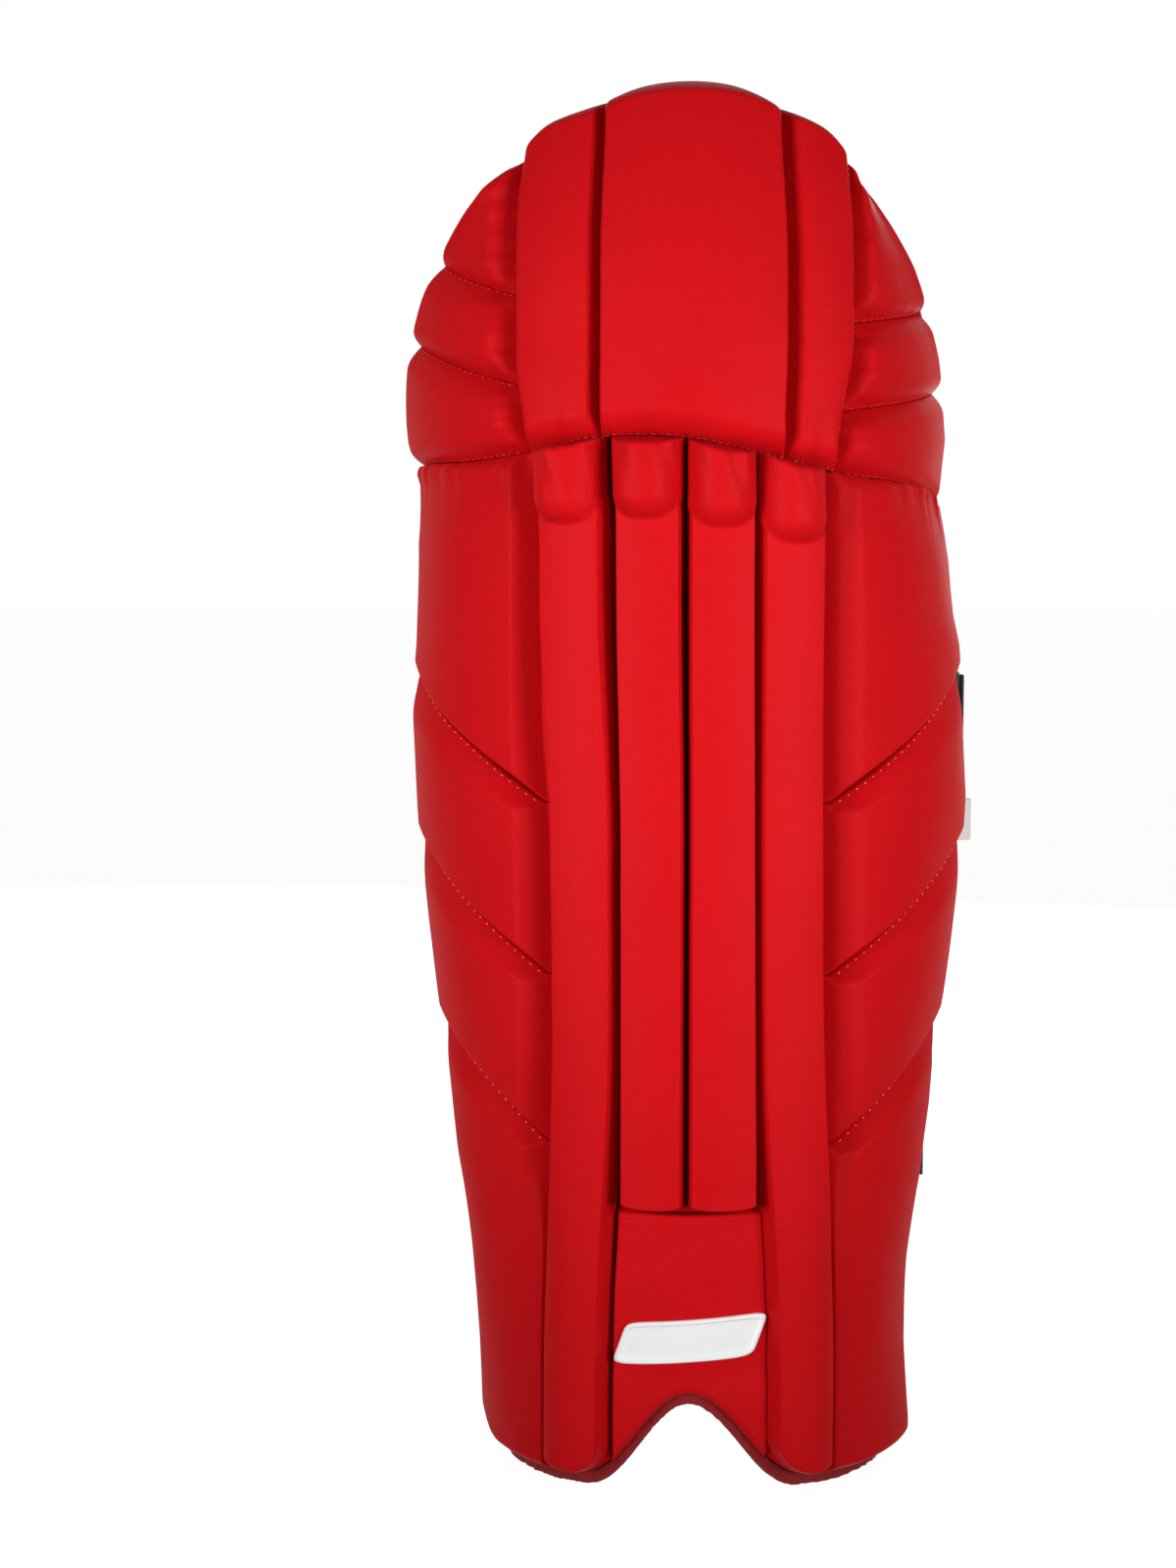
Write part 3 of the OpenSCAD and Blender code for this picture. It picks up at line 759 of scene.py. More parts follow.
def knee_cover(part, node_name, seed, thick):
    """A knee panel between two grooves: walls beside them, a soft roll into the knee seam, and an
    upper edge that wraps over the top."""
    lines = {"centre": (lambda z: -centre_edge(z, -1), lambda z: centre_edge(z, 1)),
             "inner": (lambda z: -side_edge(z, -1) - 0.5, lambda z: -centre_edge(z, -1) - 0.3),
             "outer": (lambda z: centre_edge(z, 1) + 0.3, lambda z: side_edge(z, 1) + 0.5)}
    low_s, high_s = lines[part]
    wide = 84.0 if part == "centre" else 40.0
    across = stations(wide, 0.4, 2.4, 9, 9)[None, :] / wide
    up = stations(170, 0.6, 4.0, 24, 22)[:, None] / 170
    seam = seam_at(mix(low_s(SEAM_Z), high_s(SEAM_Z), across)) + 0.2
    outline = panel_top(part, mix(low_s(PAD_H), high_s(PAD_H), across))
    z = mix(seam, outline, up)
    s = mix(low_s(z), high_s(z), across)
    left, right = s - low_s(z), high_s(z) - s
    above, below = z - seam, outline - z
    crown = np.sin(math.pi * across) * np.sin(math.pi * np.clip(up, 0, 1)) ** 0.7
    steep, gentle = (5.5, 4.2), (5.0, 2.2)
    at_left = {"centre": steep, "inner": gentle, "outer": (5.5, 2.0)}[part]
    at_right = gentle if part == "outer" else steep
    h = soft_min(5.0, at_left[0] + at_left[1] * left, at_right[0] + at_right[1] * right,
                 thick + 1.8 * crown)
    h = soft_min(10.0, h, 6.2 + 1.7 * above)
    h = soft_min(10.0, h, 1.5 + 3.0 * below)
    h = h + waves(s, z, seed, 70, 0.4) + puckers(s, above, seed + 1, 1.3, 10.0, 11.0)
    h = h + puckers(s, above, seed + 3, 0.7, 3.0, 4.5)
    h = h + puckers(z, np.minimum(left, right), seed + 2, 0.4, 4.0, 12.0)
    name = "knee_centre_cover" if part == "centre" else f"knee_side_cover_{part}"
    cover("knee_" + part, name, s, z, np.maximum(h, 1.2), UNDERSIDE, KNEE_BEND, (node_name,))


def lobe_grid(side, n, cols, rows):
    """Places in one quilted lobe of the knee wing; lobe 1 is the top one."""
    seams = KNEE_SEAMS[side]
    k = 3 - n
    share = np.broadcast_to(cols[None, :], (len(rows), len(cols)))
    up = np.broadcast_to(rows[:, None], share.shape)
    z = np.full(share.shape, (540.0, 575.0, 630.0)[k])

    def line(j):
        if j == 0:
            return seam_at(side * s) + 0.1
        if j == 3:
            return mix(668.0, 657.0, share)
        return mix(seams[j - 1][0], seams[j - 1][1], share)

    for _ in range(5):
        s = mix(side_edge(z, side) + 0.6, knee_edge(z) - 0.1, share)
        low, high = line(k) + 0.1, line(k + 1) - 0.1
        z = mix(low, high, up)
    return s, z, share, up


def lobe_cover(side, n):
    """One stuffed lobe: a pillow over its four sewn sides, deep beside the groove and thin at the
    outer edge, with gathers that run in from its seams."""
    cols = stations(95, 0.8, 2.2, 16, 12) / 95
    rows = stations(45, 0.5, 1.4, 10, 10) / 45
    s, z, share, up = lobe_grid(side, n, cols, rows)
    width = np.maximum(s[:, -1:] - s[:, :1], 1)
    height = np.maximum(z[-1:] - z[:1], 1)
    inner, outer = share * width, (1 - share) * width
    low, high = up * height, (1 - up) * height
    thin = edge_thick(side, z)
    plateau = mix(16.0, thin + 1.0, smooth(share * 1.1))
    crease = mix(3.0 if side > 0 else 4.2, plateau - 6.0, share ** 0.8)
    k = mix(8.0, 4.0, share)
    h = soft_min(k, 4.4 + 1.9 * inner, crease + 1.15 * low, crease + 0.95 * high, plateau)
    h = soft_min(6.0, h, 2.6 + 3.0 * outer)
    folds = waves(s, 0 * s + 3 * n, 130 + 7 * n + side, 11, 1.0) * np.exp(-inner / 30)
    h = h + folds * np.exp(-np.minimum(low, high) / 7.0) * (outer > 4)
    h = h + puckers(z, inner, 150 + 7 * n + side, 1.5, 9.0, 10.0)
    h = np.maximum(h, 1.2)
    word = SIDES[side]
    nodes = (f"{word}_knee_wing_{n}",)
    cover(f"{word}_lobe{n}", f"{word}_knee_lobe_{n}", s, z, h, UNDERSIDE, KNEE_BEND, nodes,
          side=side)


# ---- stuffing: cloth simulation with air pressure ----
def stuff(piece, pressure, cap, held):
    """Blows the piece up as cloth, holds each vertex within cap millimetres of where it began, and
    applies the result: each move d becomes cap tanh(d / cap). held marks the vertices sewn down."""
    frames, stiffness, damping = 14, 12.0, 12
    mesh = piece.data
    before = np.empty(len(mesh.vertices) * 3, np.float32)
    mesh.vertices.foreach_get("co", before)
    before = before.reshape(-1, 3)
    group = piece.vertex_groups.new(name="sewn")
    group.add(np.flatnonzero(held).tolist(), 1.0, "REPLACE")
    cloth = piece.modifiers.new("Cloth", "CLOTH")
    wanted = {"quality": 5, "mass": 0.25, "bending_stiffness": 0.4, "air_damping": 4,
              "tension_stiffness": stiffness, "compression_stiffness": stiffness,
              "shear_stiffness": stiffness / 2, "tension_damping": damping,
              "compression_damping": damping, "shear_damping": damping, "use_pressure": True,
              "uniform_pressure_force": pressure, "vertex_group_mass": "sewn"}
    for key, value in wanted.items():
        setattr(cloth.settings, key, value)
    cloth.settings.effector_weights.gravity = 0
    cloth.collision_settings.use_collision = False
    cloth.collision_settings.use_self_collision = False
    cloth.point_cache.frame_start, cloth.point_cache.frame_end = 1, frames
    scene = bpy.context.scene
    for step in range(1, frames + 1):
        scene.frame_set(step)
    graph = bpy.context.evaluated_depsgraph_get()
    blown = np.empty(before.size, np.float32)
    piece.evaluated_get(graph).data.vertices.foreach_get("co", blown)
    piece.modifiers.remove(cloth)
    piece.vertex_groups.clear()
    scene.frame_set(1)
    move = blown.reshape(-1, 3) - before
    reach = np.linalg.norm(move, axis=1, keepdims=True) + 1e-9
    limit = cap * MM
    move *= limit * np.tanh(reach / limit) / reach
    mesh.vertices.foreach_set("co", (before + move).ravel())
    mesh.update()


# ---- shell cores, linings and bolsters ----
def shin_grid(trim, cols, rows):
    across = np.linspace(-1, 1, cols)[None, :]
    foot = foot_at(across * shin_edge(0)) + BAND_W + 0.8 + trim
    z = mix(foot, seam_at(across * SEAM_HALF) + 0.3 - 0.35 * trim, np.linspace(0, 1, rows)[:, None])
    return across * (shin_edge(z) - trim), z


def knee_grid(trim, cols, rows):
    s = (KNEE_HALF - trim) * np.sin(np.radians(90) * np.linspace(-1, 1, cols))[None, :]
    z = mix(seam_at(s) + 0.1 + 0.35 * trim, knee_top(s) - BAND_W - trim,
            np.linspace(0, 1, rows)[:, None])
    return s * np.where(z < WIDEST_Z, knee_edge(z) / KNEE_HALF, 1), z


def shells_and_linings():
    for word, grid in (("shin", shin_grid), ("knee", knee_grid)):
        s, z = grid(0.0, 97, 65)
        core = pad_slab(f"{word}_core", s, z, 0 * s, -SHELL_T)
        belongs(core, CORE, KNEE_BEND, (f"{word}_shell",))
        s, z = grid(2.0, 121, 81)
        dimple = 0.35 + waves(s, z, 6, 45, 0.22)
        lining = pad_slab(f"{word}_lining_cloth", s, z, BACK_H + LINING_T, BACK_H + dimple * 0.3)
        belongs(lining, LINING, KNEE_BEND, (f"{word}_lining",))


def bolster(name, s0, s1, z0, z1, deep, body):
    """A stuffed roll sewn to the lining: a superellipse across, rounded off at both ends."""
    upright = z1 - z0 > s1 - s0
    length = max(z1 - z0, s1 - s0)
    half = min(z1 - z0, s1 - s0) / 2 - 1.0
    run = stations(length, 1.2, 4.5, 14, 14)
    turn = np.linspace(0, 2 * math.pi, 28, endpoint=False)
    away = np.clip(np.minimum(run, length - run) / 13, 0, 1)
    swell = np.maximum(1 - (1 - away) ** 2.4, 0.02) ** (1 / 2.4)
    pinch = 1 - 0.05 * np.cos(run / length * 2 * math.pi * 3) * (length > 200)
    side, rise = (np.sign(wave) * np.abs(wave) ** 0.8 for wave in (np.cos(turn), np.sin(turn)))
    across = half * (swell * pinch)[:, None] * side
    h = BACK_H - 0.6 - deep / 2 * swell[:, None] * (1 - rise)
    along = np.broadcast_to(run[:, None], across.shape)
    if upright:
        s, z = (s0 + s1) / 2 + across, z0 + along
    else:
        s, z = s0 + along, (z0 + z1) / 2 - across
    piece = swept(name, on_pad(s, z, h)[:, ::-1])
    seam = np.broadcast_to(rise > 0.92, across.shape)[:, ::-1].ravel()
    stuff(piece, pressure=2.5, cap=1.6, held=seam)
    belongs(piece, BOLSTER, body, (name.replace("_roll", ""),))


def bolsters():
    for side, word in SIDES.items():
        bolster(f"shin_bolster_{word}_roll", side * 37 - 15, side * 37 + 15, 150, 456, 13.0,
                "shin_section")
    bolster("knee_bolster_lower_roll", -74, 74, 470, 507, 15.0, KNEE_BEND)
    bolster("knee_bolster_upper_roll", -74, 74, 542, 579, 15.0, KNEE_BEND)


# ---- bindings ----
def smooth_path(path, step, window):
    """Resamples a polyline of (s, z) at a step and rounds its corners with a running mean."""
    length = run_along(path)
    at = np.linspace(0, length[-1], round(length[-1] / step) + 1)
    even = np.stack([np.interp(at, length, path[:, i]) for i in (0, 1)], 1)
    reach = int(window / step / 2)
    padded = np.concatenate([2 * even[:1] - even[reach:0:-1], even,
                             2 * even[-1:] - even[-2:-reach - 2:-1]])
    kernel = np.hanning(2 * reach + 3)[1:-1]
    kernel /= kernel.sum()
    return np.stack([np.convolve(padded[:, i], kernel, "valid") for i in (0, 1)], 1)


def taped_edge(name, path, nodes, seed, low, high):
    """Folded tape over an edge: a squircle from height low to high, carried along the path, wider
    along the lower rim, with small pleats across it."""
    step = 1.1
    path = smooth_path(path, step, 16)
    out = right_of(path)
    length = step * np.arange(len(path))[:, None]
    turn = np.linspace(0, 2 * math.pi, 22, endpoint=False)
    c, d = np.cos(turn), np.sin(turn)
    across, upward = squircle(turn, 4)
    rim = smooth((124 - np.abs(path[:, :1])) / 16) * (path[:, 1:] < 100)
    fine = waves(length + 1.4 * c, 0 * length, seed, 5.5, 0.20 + 0.22 * rim)
    pleat = fine + waves(length, 0 * length, seed + 1, 13, 0.15)
    a = (2.2 + 1.2 * rim) * across + 0.22 * pleat * (c > -0.5)
    h = (low + high) / 2 + (high - low) / 2 * upward + pleat * d
    # the lower lip of the tape stands out as a roll
    h = h + 1.5 * rim * np.maximum(c, 0) * (d > 0)
    s = path[:, :1] + out[:, :1] * a
    z = np.maximum(path[:, 1:] + out[:, 1:] * a, 0.05)
    # u runs round the tape and v along it
    uv = np.stack(np.broadcast_arrays(turn / (2 * math.pi) * 25 * MM, length * MM), -1)
    piece = swept(name, on_pad(s, z, h), uv)
    belongs(piece, BINDING, KNEE_BEND, nodes)


def bindings():
    z = np.linspace(SEAM_Z, 22, 200)
    left_top, right_top = seam_at(-SEAM_HALF) - 0.8, seam_at(SEAM_HALF) - 0.8
    s = np.linspace(-129, 129, 400)
    left = np.stack([-(shin_edge(z) + 2.0), z], 1)[z < left_top]
    right = np.stack([shin_edge(z) + 2.0, z], 1)[z < right_top][::-1]
    low = np.stack([s, foot_at(s) + 3.2], 1)
    taped_edge("shin_edge_tape", np.concatenate([left, low, right]),
               ("side_binding_inner", "instep_binding", "side_binding_outer"),
               seed=200, low=-7.5, high=2.6)
    angle = np.linspace(-1, 1, 500)
    s = KNEE_HALF * np.sin(np.radians(90) * angle)
    top = np.stack([s, knee_top(s)], 1)
    top = top + TAPE_INSET * right_of(top)
    lows = []
    for side in (-1, 1):
        z = np.linspace(seam_at(side * SEAM_HALF) + 0.8, WIDEST_Z - 3, 20)
        lows.append(np.stack([side * (knee_edge(z) - TAPE_INSET), z], 1))
    taped_edge("knee_edge_tape", np.concatenate([lows[0], top[4:-4], lows[1][::-1]])[::-1],
               ("knee_binding",), seed=210, low=-7.5, high=2.4)


# ---- straps ----
# an ellipse in plan: its half widths, its middle and its height
Loop = namedtuple("Loop", "half_x half_y x y z")
LOOPS = {
    "calf": Loop(140.4, 55.0, CENTRE_X + 6.4, FRONT_Y + 118, 385.0),
    "ankle": Loop(117.5, 46.0, CENTRE_X + 8.5, FRONT_Y + 96, 163.0),
}
STRAP_W, WEB_T = 50.0, 2.4
WEB_OFF, TONGUE_OFF, HOOK_OFF = 1.6, -2.2, -0.25


def loop_point(loop, t, off):
    t = np.radians(t)
    return np.stack([loop.x + (loop.half_x + off) * np.cos(t),
                     loop.y + (loop.half_y + off) * np.sin(t)], -1)


def band_rings(path, z, width, thick):
    """A flat band on edge along a path in plan, with both its long edges rounded."""
    out = right_of(path)
    # around the section: the outer face, a half round edge, the inner face and the other edge
    face = np.linspace(-1, 1, 12)
    edge = np.radians(np.linspace(0, 180, 7))[1:-1]
    half, r = width / 2, thick / 2
    u = np.concatenate([face * (half - r), half - r + r * np.sin(edge), -face * (half - r),
                        -half + r - r * np.sin(edge)])
    w = np.concatenate([0 * face + r, r * np.cos(edge), 0 * face - r, -r * np.cos(edge)])
    x = path[:, :1] + out[:, :1] * w
    y = path[:, 1:] + out[:, 1:] * w
    height = np.broadcast_to(z, (len(path),))[:, None] + u
    uv = np.stack(np.broadcast_arrays(u * MM, run_along(path)[:, None] * MM), -1)
    return np.stack([x, y, height], -1) * MM, uv


def band(name, loop, t0, t1, off, width, thick, root=None):
    """A strap length; root is (side, past the edge, height) where it leaves the wing."""
    angles = np.linspace(t0, t1, max(10, int(abs(t1 - t0) / 1.6)))
    path = loop_point(loop, angles, off)
    rings, uv = band_rings(path, loop.z, width, thick)
    if root is not None:
        side, past, edge_h = root
        count = 8
        share = np.linspace(0, 1, count, endpoint=False)[:, None]
        z = rings[0, :, 2] / MM
        middle = loop_point(loop, np.array(t0), off)
        sideways = rings[0, :, :2] / MM - middle
        start = on_pad(side * (shin_edge(z) + past), z, edge_h)[:, :2] / MM + sideways
        plan = mix(start[None], rings[None, 0, :, :2] / MM, share[..., None])
        upright = np.broadcast_to(z[None, :, None], (count, len(z), 1))
        lead = np.concatenate([plan, upright], -1) * MM
        rings = np.concatenate([lead, rings])
        gap = np.linalg.norm(start - rings[count, :, :2] / MM, axis=-1).mean() * MM
        lead_uv = np.stack([np.broadcast_to(uv[0, :, 0], (count, len(z))),
                            np.broadcast_to((share - 1) * gap, (count, len(z)))], -1)
        uv = np.concatenate([lead_uv, uv])
    return swept(name, rings, uv)


def strap_bend(loop, low, high, t0, t1):
    """A bend between two bodies from angle t0 to angle t1 of the loop."""
    places = [(*loop_point(loop, np.array(float(t)), WEB_OFF) * MM, loop.z * MM) for t in (t0, t1)]
    return bend(low, high, *places)


def straps():
    for word, loop in LOOPS.items():
        back, front, tab = (f"{word}_strap_{part}" for part in ("back", "front", "tab"))
        # name, two angles, offset, width, thickness, where it leaves the wing,
        # then material, slot, body, nodes
        bands = (
            ("elastic", 184, 103, WEB_OFF, STRAP_W, WEB_T, (-1, 3.0, -3.2),
             ELASTIC, "elastic", strap_bend(loop, "shin_section", back, 184, 172),
             ("strap_root", "strap_elastic")),
            ("webbing", 108, 41, WEB_OFF + 0.9, STRAP_W - 1, 1.9, None,
             WEBBING, "webbing", strap_bend(loop, back, front, 104, 88), ("strap_webbing",)),
            ("grip_tab", 45, 4, WEB_OFF + 0.1, STRAP_W - 4, 1.8, None,
             WEBBING, "webbing", strap_bend(loop, front, tab, 40, 30), ("pull_tab",)),
            ("hook_tape", 62, 37, HOOK_OFF, STRAP_W - 6, 0.7, None,
             HOOK_TAPE, "hook_tape", front, ("hook_patch",)),
            ("loop_tongue", -3.2, 64, TONGUE_OFF, STRAP_W, WEB_T, (1, -1.6, 4.1),
             LOOP_TAPE, "loop_tape", "shin_section", ("tongue_root", "strap_tongue")),
        )
        for name, t0, t1, off, width, thick, root, material, slot, body, nodes in bands:
            piece = band(f"{word}_{name}", loop, t0, t1, off, width, thick, root)
            belongs(piece, material, body, [f"{word}_{node_name}" for node_name in nodes])


def strap_patch_sheet():
    """Four patches sewn inside the wings where the straps are stitched through, as one piece."""
    parts, faces, total = [], [], 0
    for side in (-1, 1):
        for loop in LOOPS.values():
            share = 2 * stations(1, 0.04, 0.09, 0.2, 0.2) - 1
            u, v = np.meshgrid(share, share)
            z = loop.z + v * (STRAP_W + 8) / 2
            s = side * (shin_edge(z) - 16 + 12 * u)
            edge = np.minimum(1 - np.abs(u), 1 - np.abs(v)) * 12
            # rounded at the rim, with a sewn furrow 3 mm inside it
            h = BACK_H - 0.1 - 1.3 * np.minimum(edge / 0.9, 1) ** 0.5
            h = h + 0.25 * np.exp(-((edge - 3) / 0.7) ** 2)
            points = np.concatenate([on_pad(s, z, top).reshape(-1, 3) for top in (h, BACK_H + 0.6)])
            made = slab_faces(*s.shape)
            faces.append((made[:, ::-1] if side > 0 else made) + total)
            parts.append(points)
            total += len(points)
    piece = new_piece("strap_patch_squares", np.concatenate(parts), np.concatenate(faces))
    belongs(piece, PATCH, "shin_section", ("strap_patches",))


def folded_label():
    """Blank satin ribbon folded double: a teardrop loop in plan, sewn into the outer edge."""
    low, tall, length = 320.0, 22.0, 17.0
    spot = on_pad(shin_edge(low) + BAND_W + 0.4, low, 1.0) / MM
    turn = np.linspace(-1, 1, 61)
    # each face stands up to 1.9 mm off the middle by the fold, and they close up at the sewn end
    u = length * (1 - np.abs(turn) ** 1.5)
    fold = 2.2
    past = (u - length + fold) / fold
    apart = np.where(past > 0, np.sqrt(np.maximum(1 - past ** 2, 0)),
                     0.25 + 0.75 * smooth(u / length))
    gap = 1.9 * np.sign(turn) * apart
    sag = 0.8 * np.sin(u / length * 2.2)
    heading = np.radians(25)
    x = spot[0] + u * math.cos(heading) - (gap + sag) * math.sin(heading)
    y = spot[1] + u * math.sin(heading) + (gap + sag) * math.cos(heading)
    rings, uv = band_rings(np.stack([x, y], 1), low + tall / 2, tall, 0.45)
    piece = swept("folded_label", rings, uv)
    belongs(piece, LABEL, "shin_section", ("size_label",))


# ---- stitches ----
# the lines that find a cover: the heights they run between, and how far they are followed
DRAPE_FROM, DRAPE_TO, DRAPE_REACH = 45.0, -4.0, 60.0


def drape_on(pieces, s, z, sink=0.1):
    """Where lines straight in towards the shell first meet the covers, and the normals there."""
    graph = bpy.context.evaluated_depsgraph_get()
    trees = [BVHTree.FromObject(piece, graph) for piece in pieces]
    start, end = on_pad(s, z, DRAPE_FROM), on_pad(s, z, DRAPE_TO)
    places, normals = [], []
    for a, b in zip(start, end):
        a, b = Vector(a), Vector(b)
        way = (b - a).normalized()
        casts = [tree.ray_cast(a, way, DRAPE_REACH * MM) for tree in trees]
        hits = [hit for hit in casts if hit[0] is not None]
        if not hits:
            places.append((np.nan,) * 3)
            normals.append((0, -1, 0))
            continue
        hit = min(hits, key=lambda found: found[3])
        places.append(tuple(hit[0] - hit[1] * sink * MM))
        normals.append(tuple(hit[1]))
    return np.array(places), np.array(normals)


def stitch_row(name, pieces, s, z, body, pitch, length=2.4, thread=THREAD):
    """A row of thread capsules pressed into the cover: each is a short rod with round ends."""
    s, z = np.broadcast_arrays(np.asarray(s, float), np.asarray(z, float))
    line = np.stack([s, z], 1)
    run = run_along(line)
    at = np.arange(pitch / 2, run[-1], pitch)
    centre = np.stack([np.interp(at, run, line[:, i]) for i in (0, 1)], 1)
    ahead = np.stack([np.interp(at + 0.5, run, line[:, i]) for i in (0, 1)], 1)
    places, normals = drape_on([COVERS[key] for key in pieces], centre[:, 0], centre[:, 1])
    along = on_pad(ahead[:, 0], ahead[:, 1], 8.0) - on_pad(centre[:, 0], centre[:, 1], 8.0)
    sound = np.isfinite(places[:, 0])
    places, normals, along = places[sound], normals[sound], along[sound]
    along -= normals * (along * normals).sum(1, keepdims=True)
    along /= np.linalg.norm(along, axis=1, keepdims=True) + 1e-12
    across = np.cross(along, normals)
    turn = np.linspace(0, 2 * math.pi, 6, endpoint=False)
    share = np.array([-1, -0.7, 0, 0.7, 1])
    radius_m = 0.36 * MM
    girth = np.array([0.3, 0.9, 1, 0.9, 0.3]) * radius_m
    ring = np.cos(turn)[:, None, None] * across + np.sin(turn)[:, None, None] * normals
    sunk = -0.5 * radius_m * share ** 2
    points = places + share[:, None, None] * along * length / 2 * MM + sunk[:, None, None] * normals
    points = points[:, None] + girth[:, None, None, None] * ring[None]
    points = points.transpose(2, 0, 1, 3)
    count, rows, cols = points.shape[:3]
    quads, ends = tube_faces(rows, cols)
    offset = np.arange(count)[:, None, None] * rows * cols
    faces = [*(quads + offset).reshape(-1, 4), *(ends + offset).reshape(-1, cols)]
    piece = new_piece(name, points.reshape(-1, 3), faces)
    belongs(piece, thread, body)


def stitching():
    """The visible rows: along the knee seam, the lobes' seams, the grooves beside them, the wings'
    slanting seams, and the crease between the first bar and its wing."""
    s = np.linspace(-74, 72, 120)
    middle = ["knee_centre", "knee_inner", "knee_outer", "bar1", "bar2", "bar3", "bar4"]
    stitch_row("knee_seam_stitches", middle, s, seam_at(s) + 0.7, KNEE_BEND, pitch=3.4)
    for side, word in SIDES.items():
        lobes = [f"{word}_lobe{n}" for n in (1, 2, 3)]
        s = side * np.linspace(82, 172, 60)
        beside = lobes + [f"{word}1"]
        stitch_row(f"{word}_wing_seam_stitches", beside, s, seam_at(s) + 0.6, KNEE_BEND, pitch=4.0)
        z = np.linspace(seam_at(side * 76) + 4, 660, 60)
        stitch_row(f"{word}_groove_stitches", lobes + ["knee_" + word],
                   side * (side_edge(z, side) + 1.2), z, KNEE_BEND, pitch=5.0)
        for k, (groove, edge) in enumerate(KNEE_SEAMS[side]):
            share = np.linspace(0.06, 0.9, 50)
            z = mix(groove, edge, share)
            s = side * mix(side_edge(z, side), knee_edge(z), share)
            stitch_row(f"{word}_lobe_stitches_{k + 1}", lobes, s, z + 0.8 * side, KNEE_BEND,
                       pitch=4.2)
        for k, (groove, edge) in enumerate(WING_SEAMS):
            share = np.linspace(0.02, 0.9, 60)
            z = mix(groove, edge, share)
            s = side * mix(wing_inner(z), shin_edge(z), share)
            covers = [f"{word}{k + 1}", f"{word}{k + 2}"]
            # these stitches take the thread whose pale colour is a painted glint
            stitch_row(f"{word}_wing_stitches_{k + 1}", covers, s, z - 1.5, "shin_section",
                       pitch=5.6, length=1.5, thread=PAINTED_GLINT_THREAD)
    z = np.linspace(22, 150, 60)
    s = bar_centre(1, z) - BAR_W / 2 - 0.1 - 1.5 * (1 - smooth((z - 90) / 80)) - 1.0
    stitch_row("inner_bar_stitches", ["inner4"], s, z, "shin_section", pitch=4.6, length=2.2)


# ---- camera, lights and floor ----
LENS_MM = 51.77
VIEW_AT, VIEW_FROM = 462.0, 1095.0
YAW, PITCH = math.atan(100 / 2301), math.atan(215 / 2301)
AMBIENT, FLOOR_GLOW = 0.14, 0.88


def make_camera():
    """A camera in front of the upper shin, turned slightly to the left and down."""
    camera = placed("camera", bpy.data.cameras.new("camera"))
    camera.data.lens = LENS_MM
    camera.data.sensor_width = 36.0
    camera.data.clip_start = 0.02
    forward = Vector((-math.sin(YAW) * math.cos(PITCH), math.cos(YAW) * math.cos(PITCH),
                      -math.sin(PITCH)))
    right = Vector((math.cos(YAW), math.sin(YAW), 0))
    up = right.cross(forward)
    turn = Matrix((right, up, -forward)).transposed().to_4x4()
    place = Vector((CENTRE_X, FRONT_Y - VIEW_FROM, VIEW_AT)) * MM
    camera.matrix_world = Matrix.Translation(place) @ turn
    bpy.context.scene.camera = camera


def soft_light(name, place, target, wide, tall, power, spread=180):
    """A rectangular soft light at a place, turned to face a target; metres and watts."""
    data = bpy.data.lights.new(name, "AREA")
    data.shape = "RECTANGLE"
    data.size, data.size_y = wide, tall
    data.energy = power
    data.spread = math.radians(spread)
    lamp = placed(name, data)
    lamp.location = place
    lamp.rotation_euler = (Vector(target) - Vector(place)).to_track_quat("-Z", "Y").to_euler()


def seen_directly(tree):
    """1 for camera, glossy and transmission rays, 0 for the rays that light the object."""
    path = node(tree, "ShaderNodeLightPath").outputs
    seen = maths(tree, "MAXIMUM", path["Is Camera Ray"], path["Is Glossy Ray"])
    return maths(tree, "MAXIMUM", seen, path["Is Transmission Ray"])


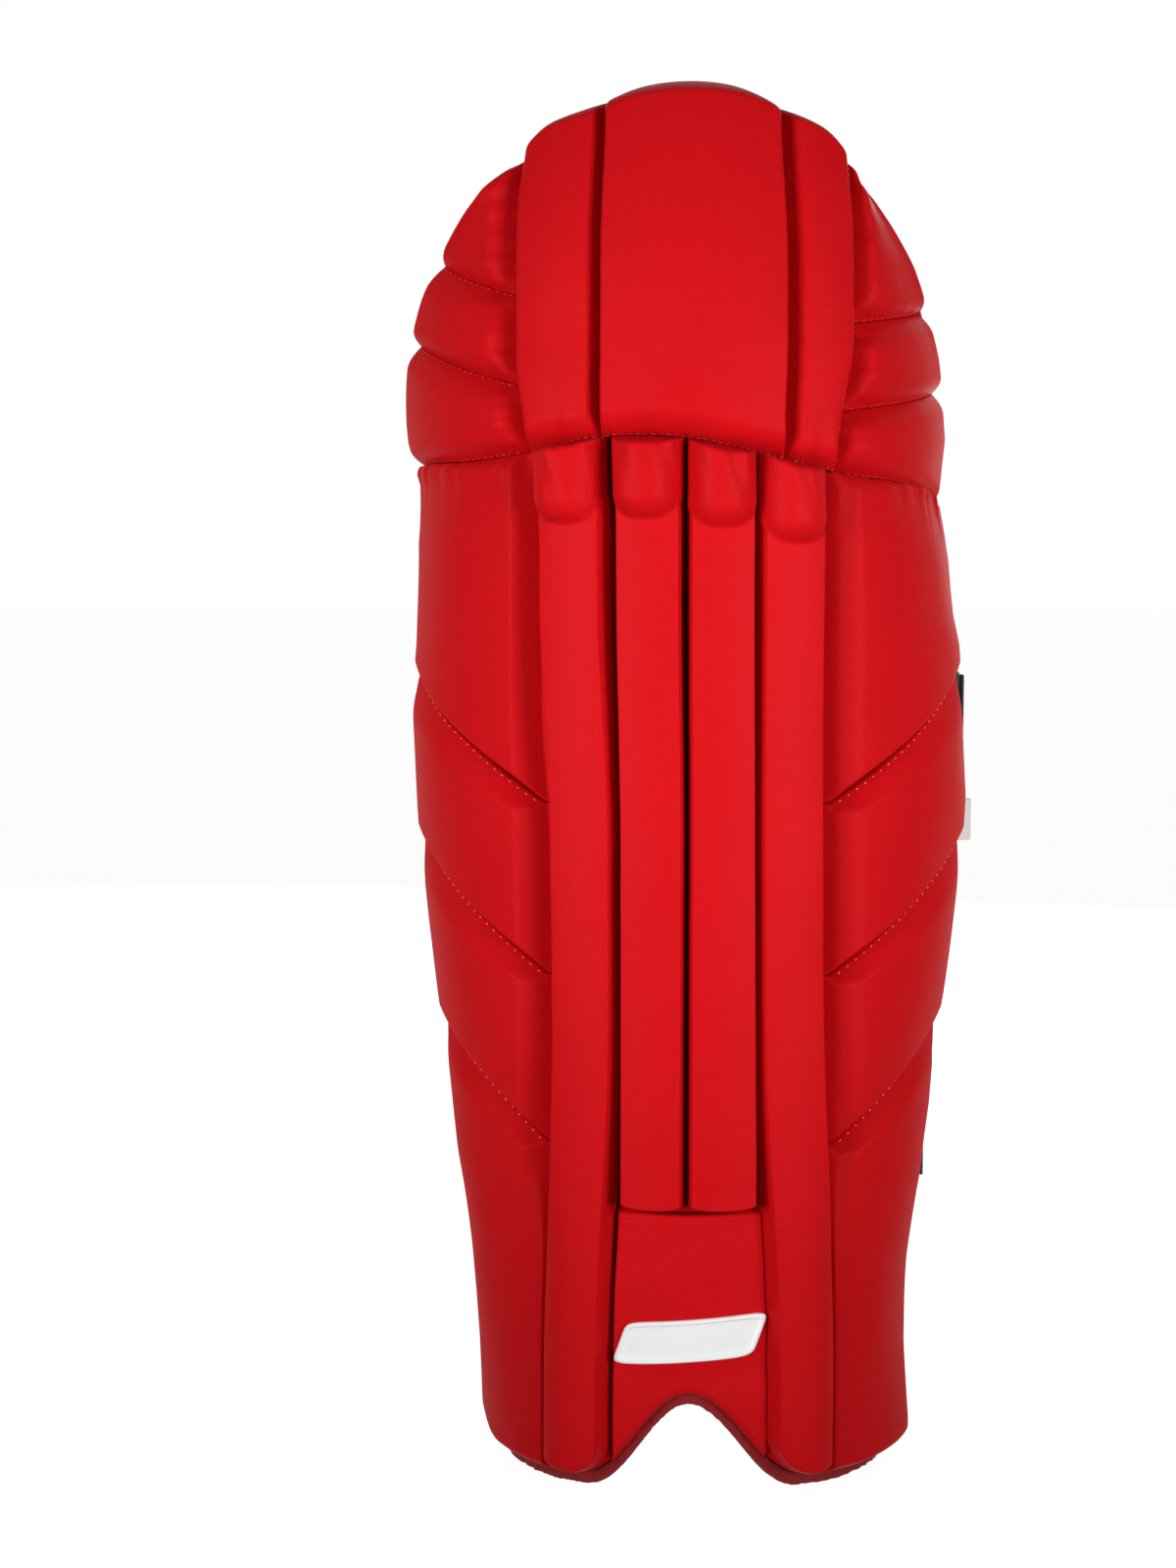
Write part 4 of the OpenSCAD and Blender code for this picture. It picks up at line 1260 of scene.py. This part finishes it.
def make_surroundings():
    """A white world where it is seen, a dim even one where it lights, and a floor with a shadow."""
    scene = bpy.context.scene
    scene.view_settings.view_transform = "Standard"
    world = scene.world or bpy.data.worlds.new("world")
    scene.world = world
    world.use_nodes = True
    tree = world.node_tree
    background = tree.nodes["Background"]
    background.inputs["Color"].default_value = (1, 1, 1, 1)
    level = node(tree, "ShaderNodeMapRange", {0: seen_directly(tree), 3: AMBIENT, 4: 1.0})
    tree.links.new(level.outputs[0], background.inputs["Strength"])

    floor_material, tree, shader = new_material("white_floor", 0.9, specular=0.1)
    shader.inputs["Base Color"].default_value = (0.45, 0.45, 0.45, 1)
    shader.inputs["Emission Color"].default_value = (1, 1, 1, 1)
    glow = node(tree, "ShaderNodeMapRange", {0: seen_directly(tree), 3: 0.0, 4: FLOOR_GLOW})
    tree.links.new(glow.outputs[0], shader.inputs["Emission Strength"])
    reach = 30.0
    corners = [(-reach, -reach, 0), (reach, -reach, 0), (reach, reach, 0), (-reach, reach, 0)]
    floor = new_piece("floor", np.array(corners) - (0, 0, 0.0002), [(0, 1, 2, 3)])
    floor.data.materials.append(floor_material)


make_camera()
make_surroundings()
for name, x, power in (("left", -0.78, 1.78), ("right", 0.78, 1.82)):
    soft_light(name, (x, -1.0, 0.42), (0, -0.1, 0.44), wide=0.6, tall=0.5, power=power, spread=64)
soft_light("back", (0.3, 1.9, 0.7), (0, 0, 0.38), wide=1.4, tall=1.2, power=22)

for number in (1, 2, 3, 4):
    bar_cover(number)
    wing_cover(-1, number)
    wing_cover(1, number)
instep_cover()
badge_plate()
knee_cover("centre", "knee_centre_panel", seed=101, thick=KNEE_T)
knee_cover("inner", "knee_side_panel_inner", seed=111, thick=KNEE_T - 2)
knee_cover("outer", "knee_side_panel_outer", seed=121, thick=KNEE_T - 2)
for number in (1, 2, 3):
    lobe_cover(-1, number)
    lobe_cover(1, number)
shells_and_linings()
stitching()
bolsters()
bindings()
straps()
strap_patch_sheet()
folded_label()
for name, material in (("cane_rods", CANE), ("knee_stiffener", STIFFENER)):
    mesh = frame["nodes"][name].data
    mesh.materials.clear()
    mesh.materials.append(material)
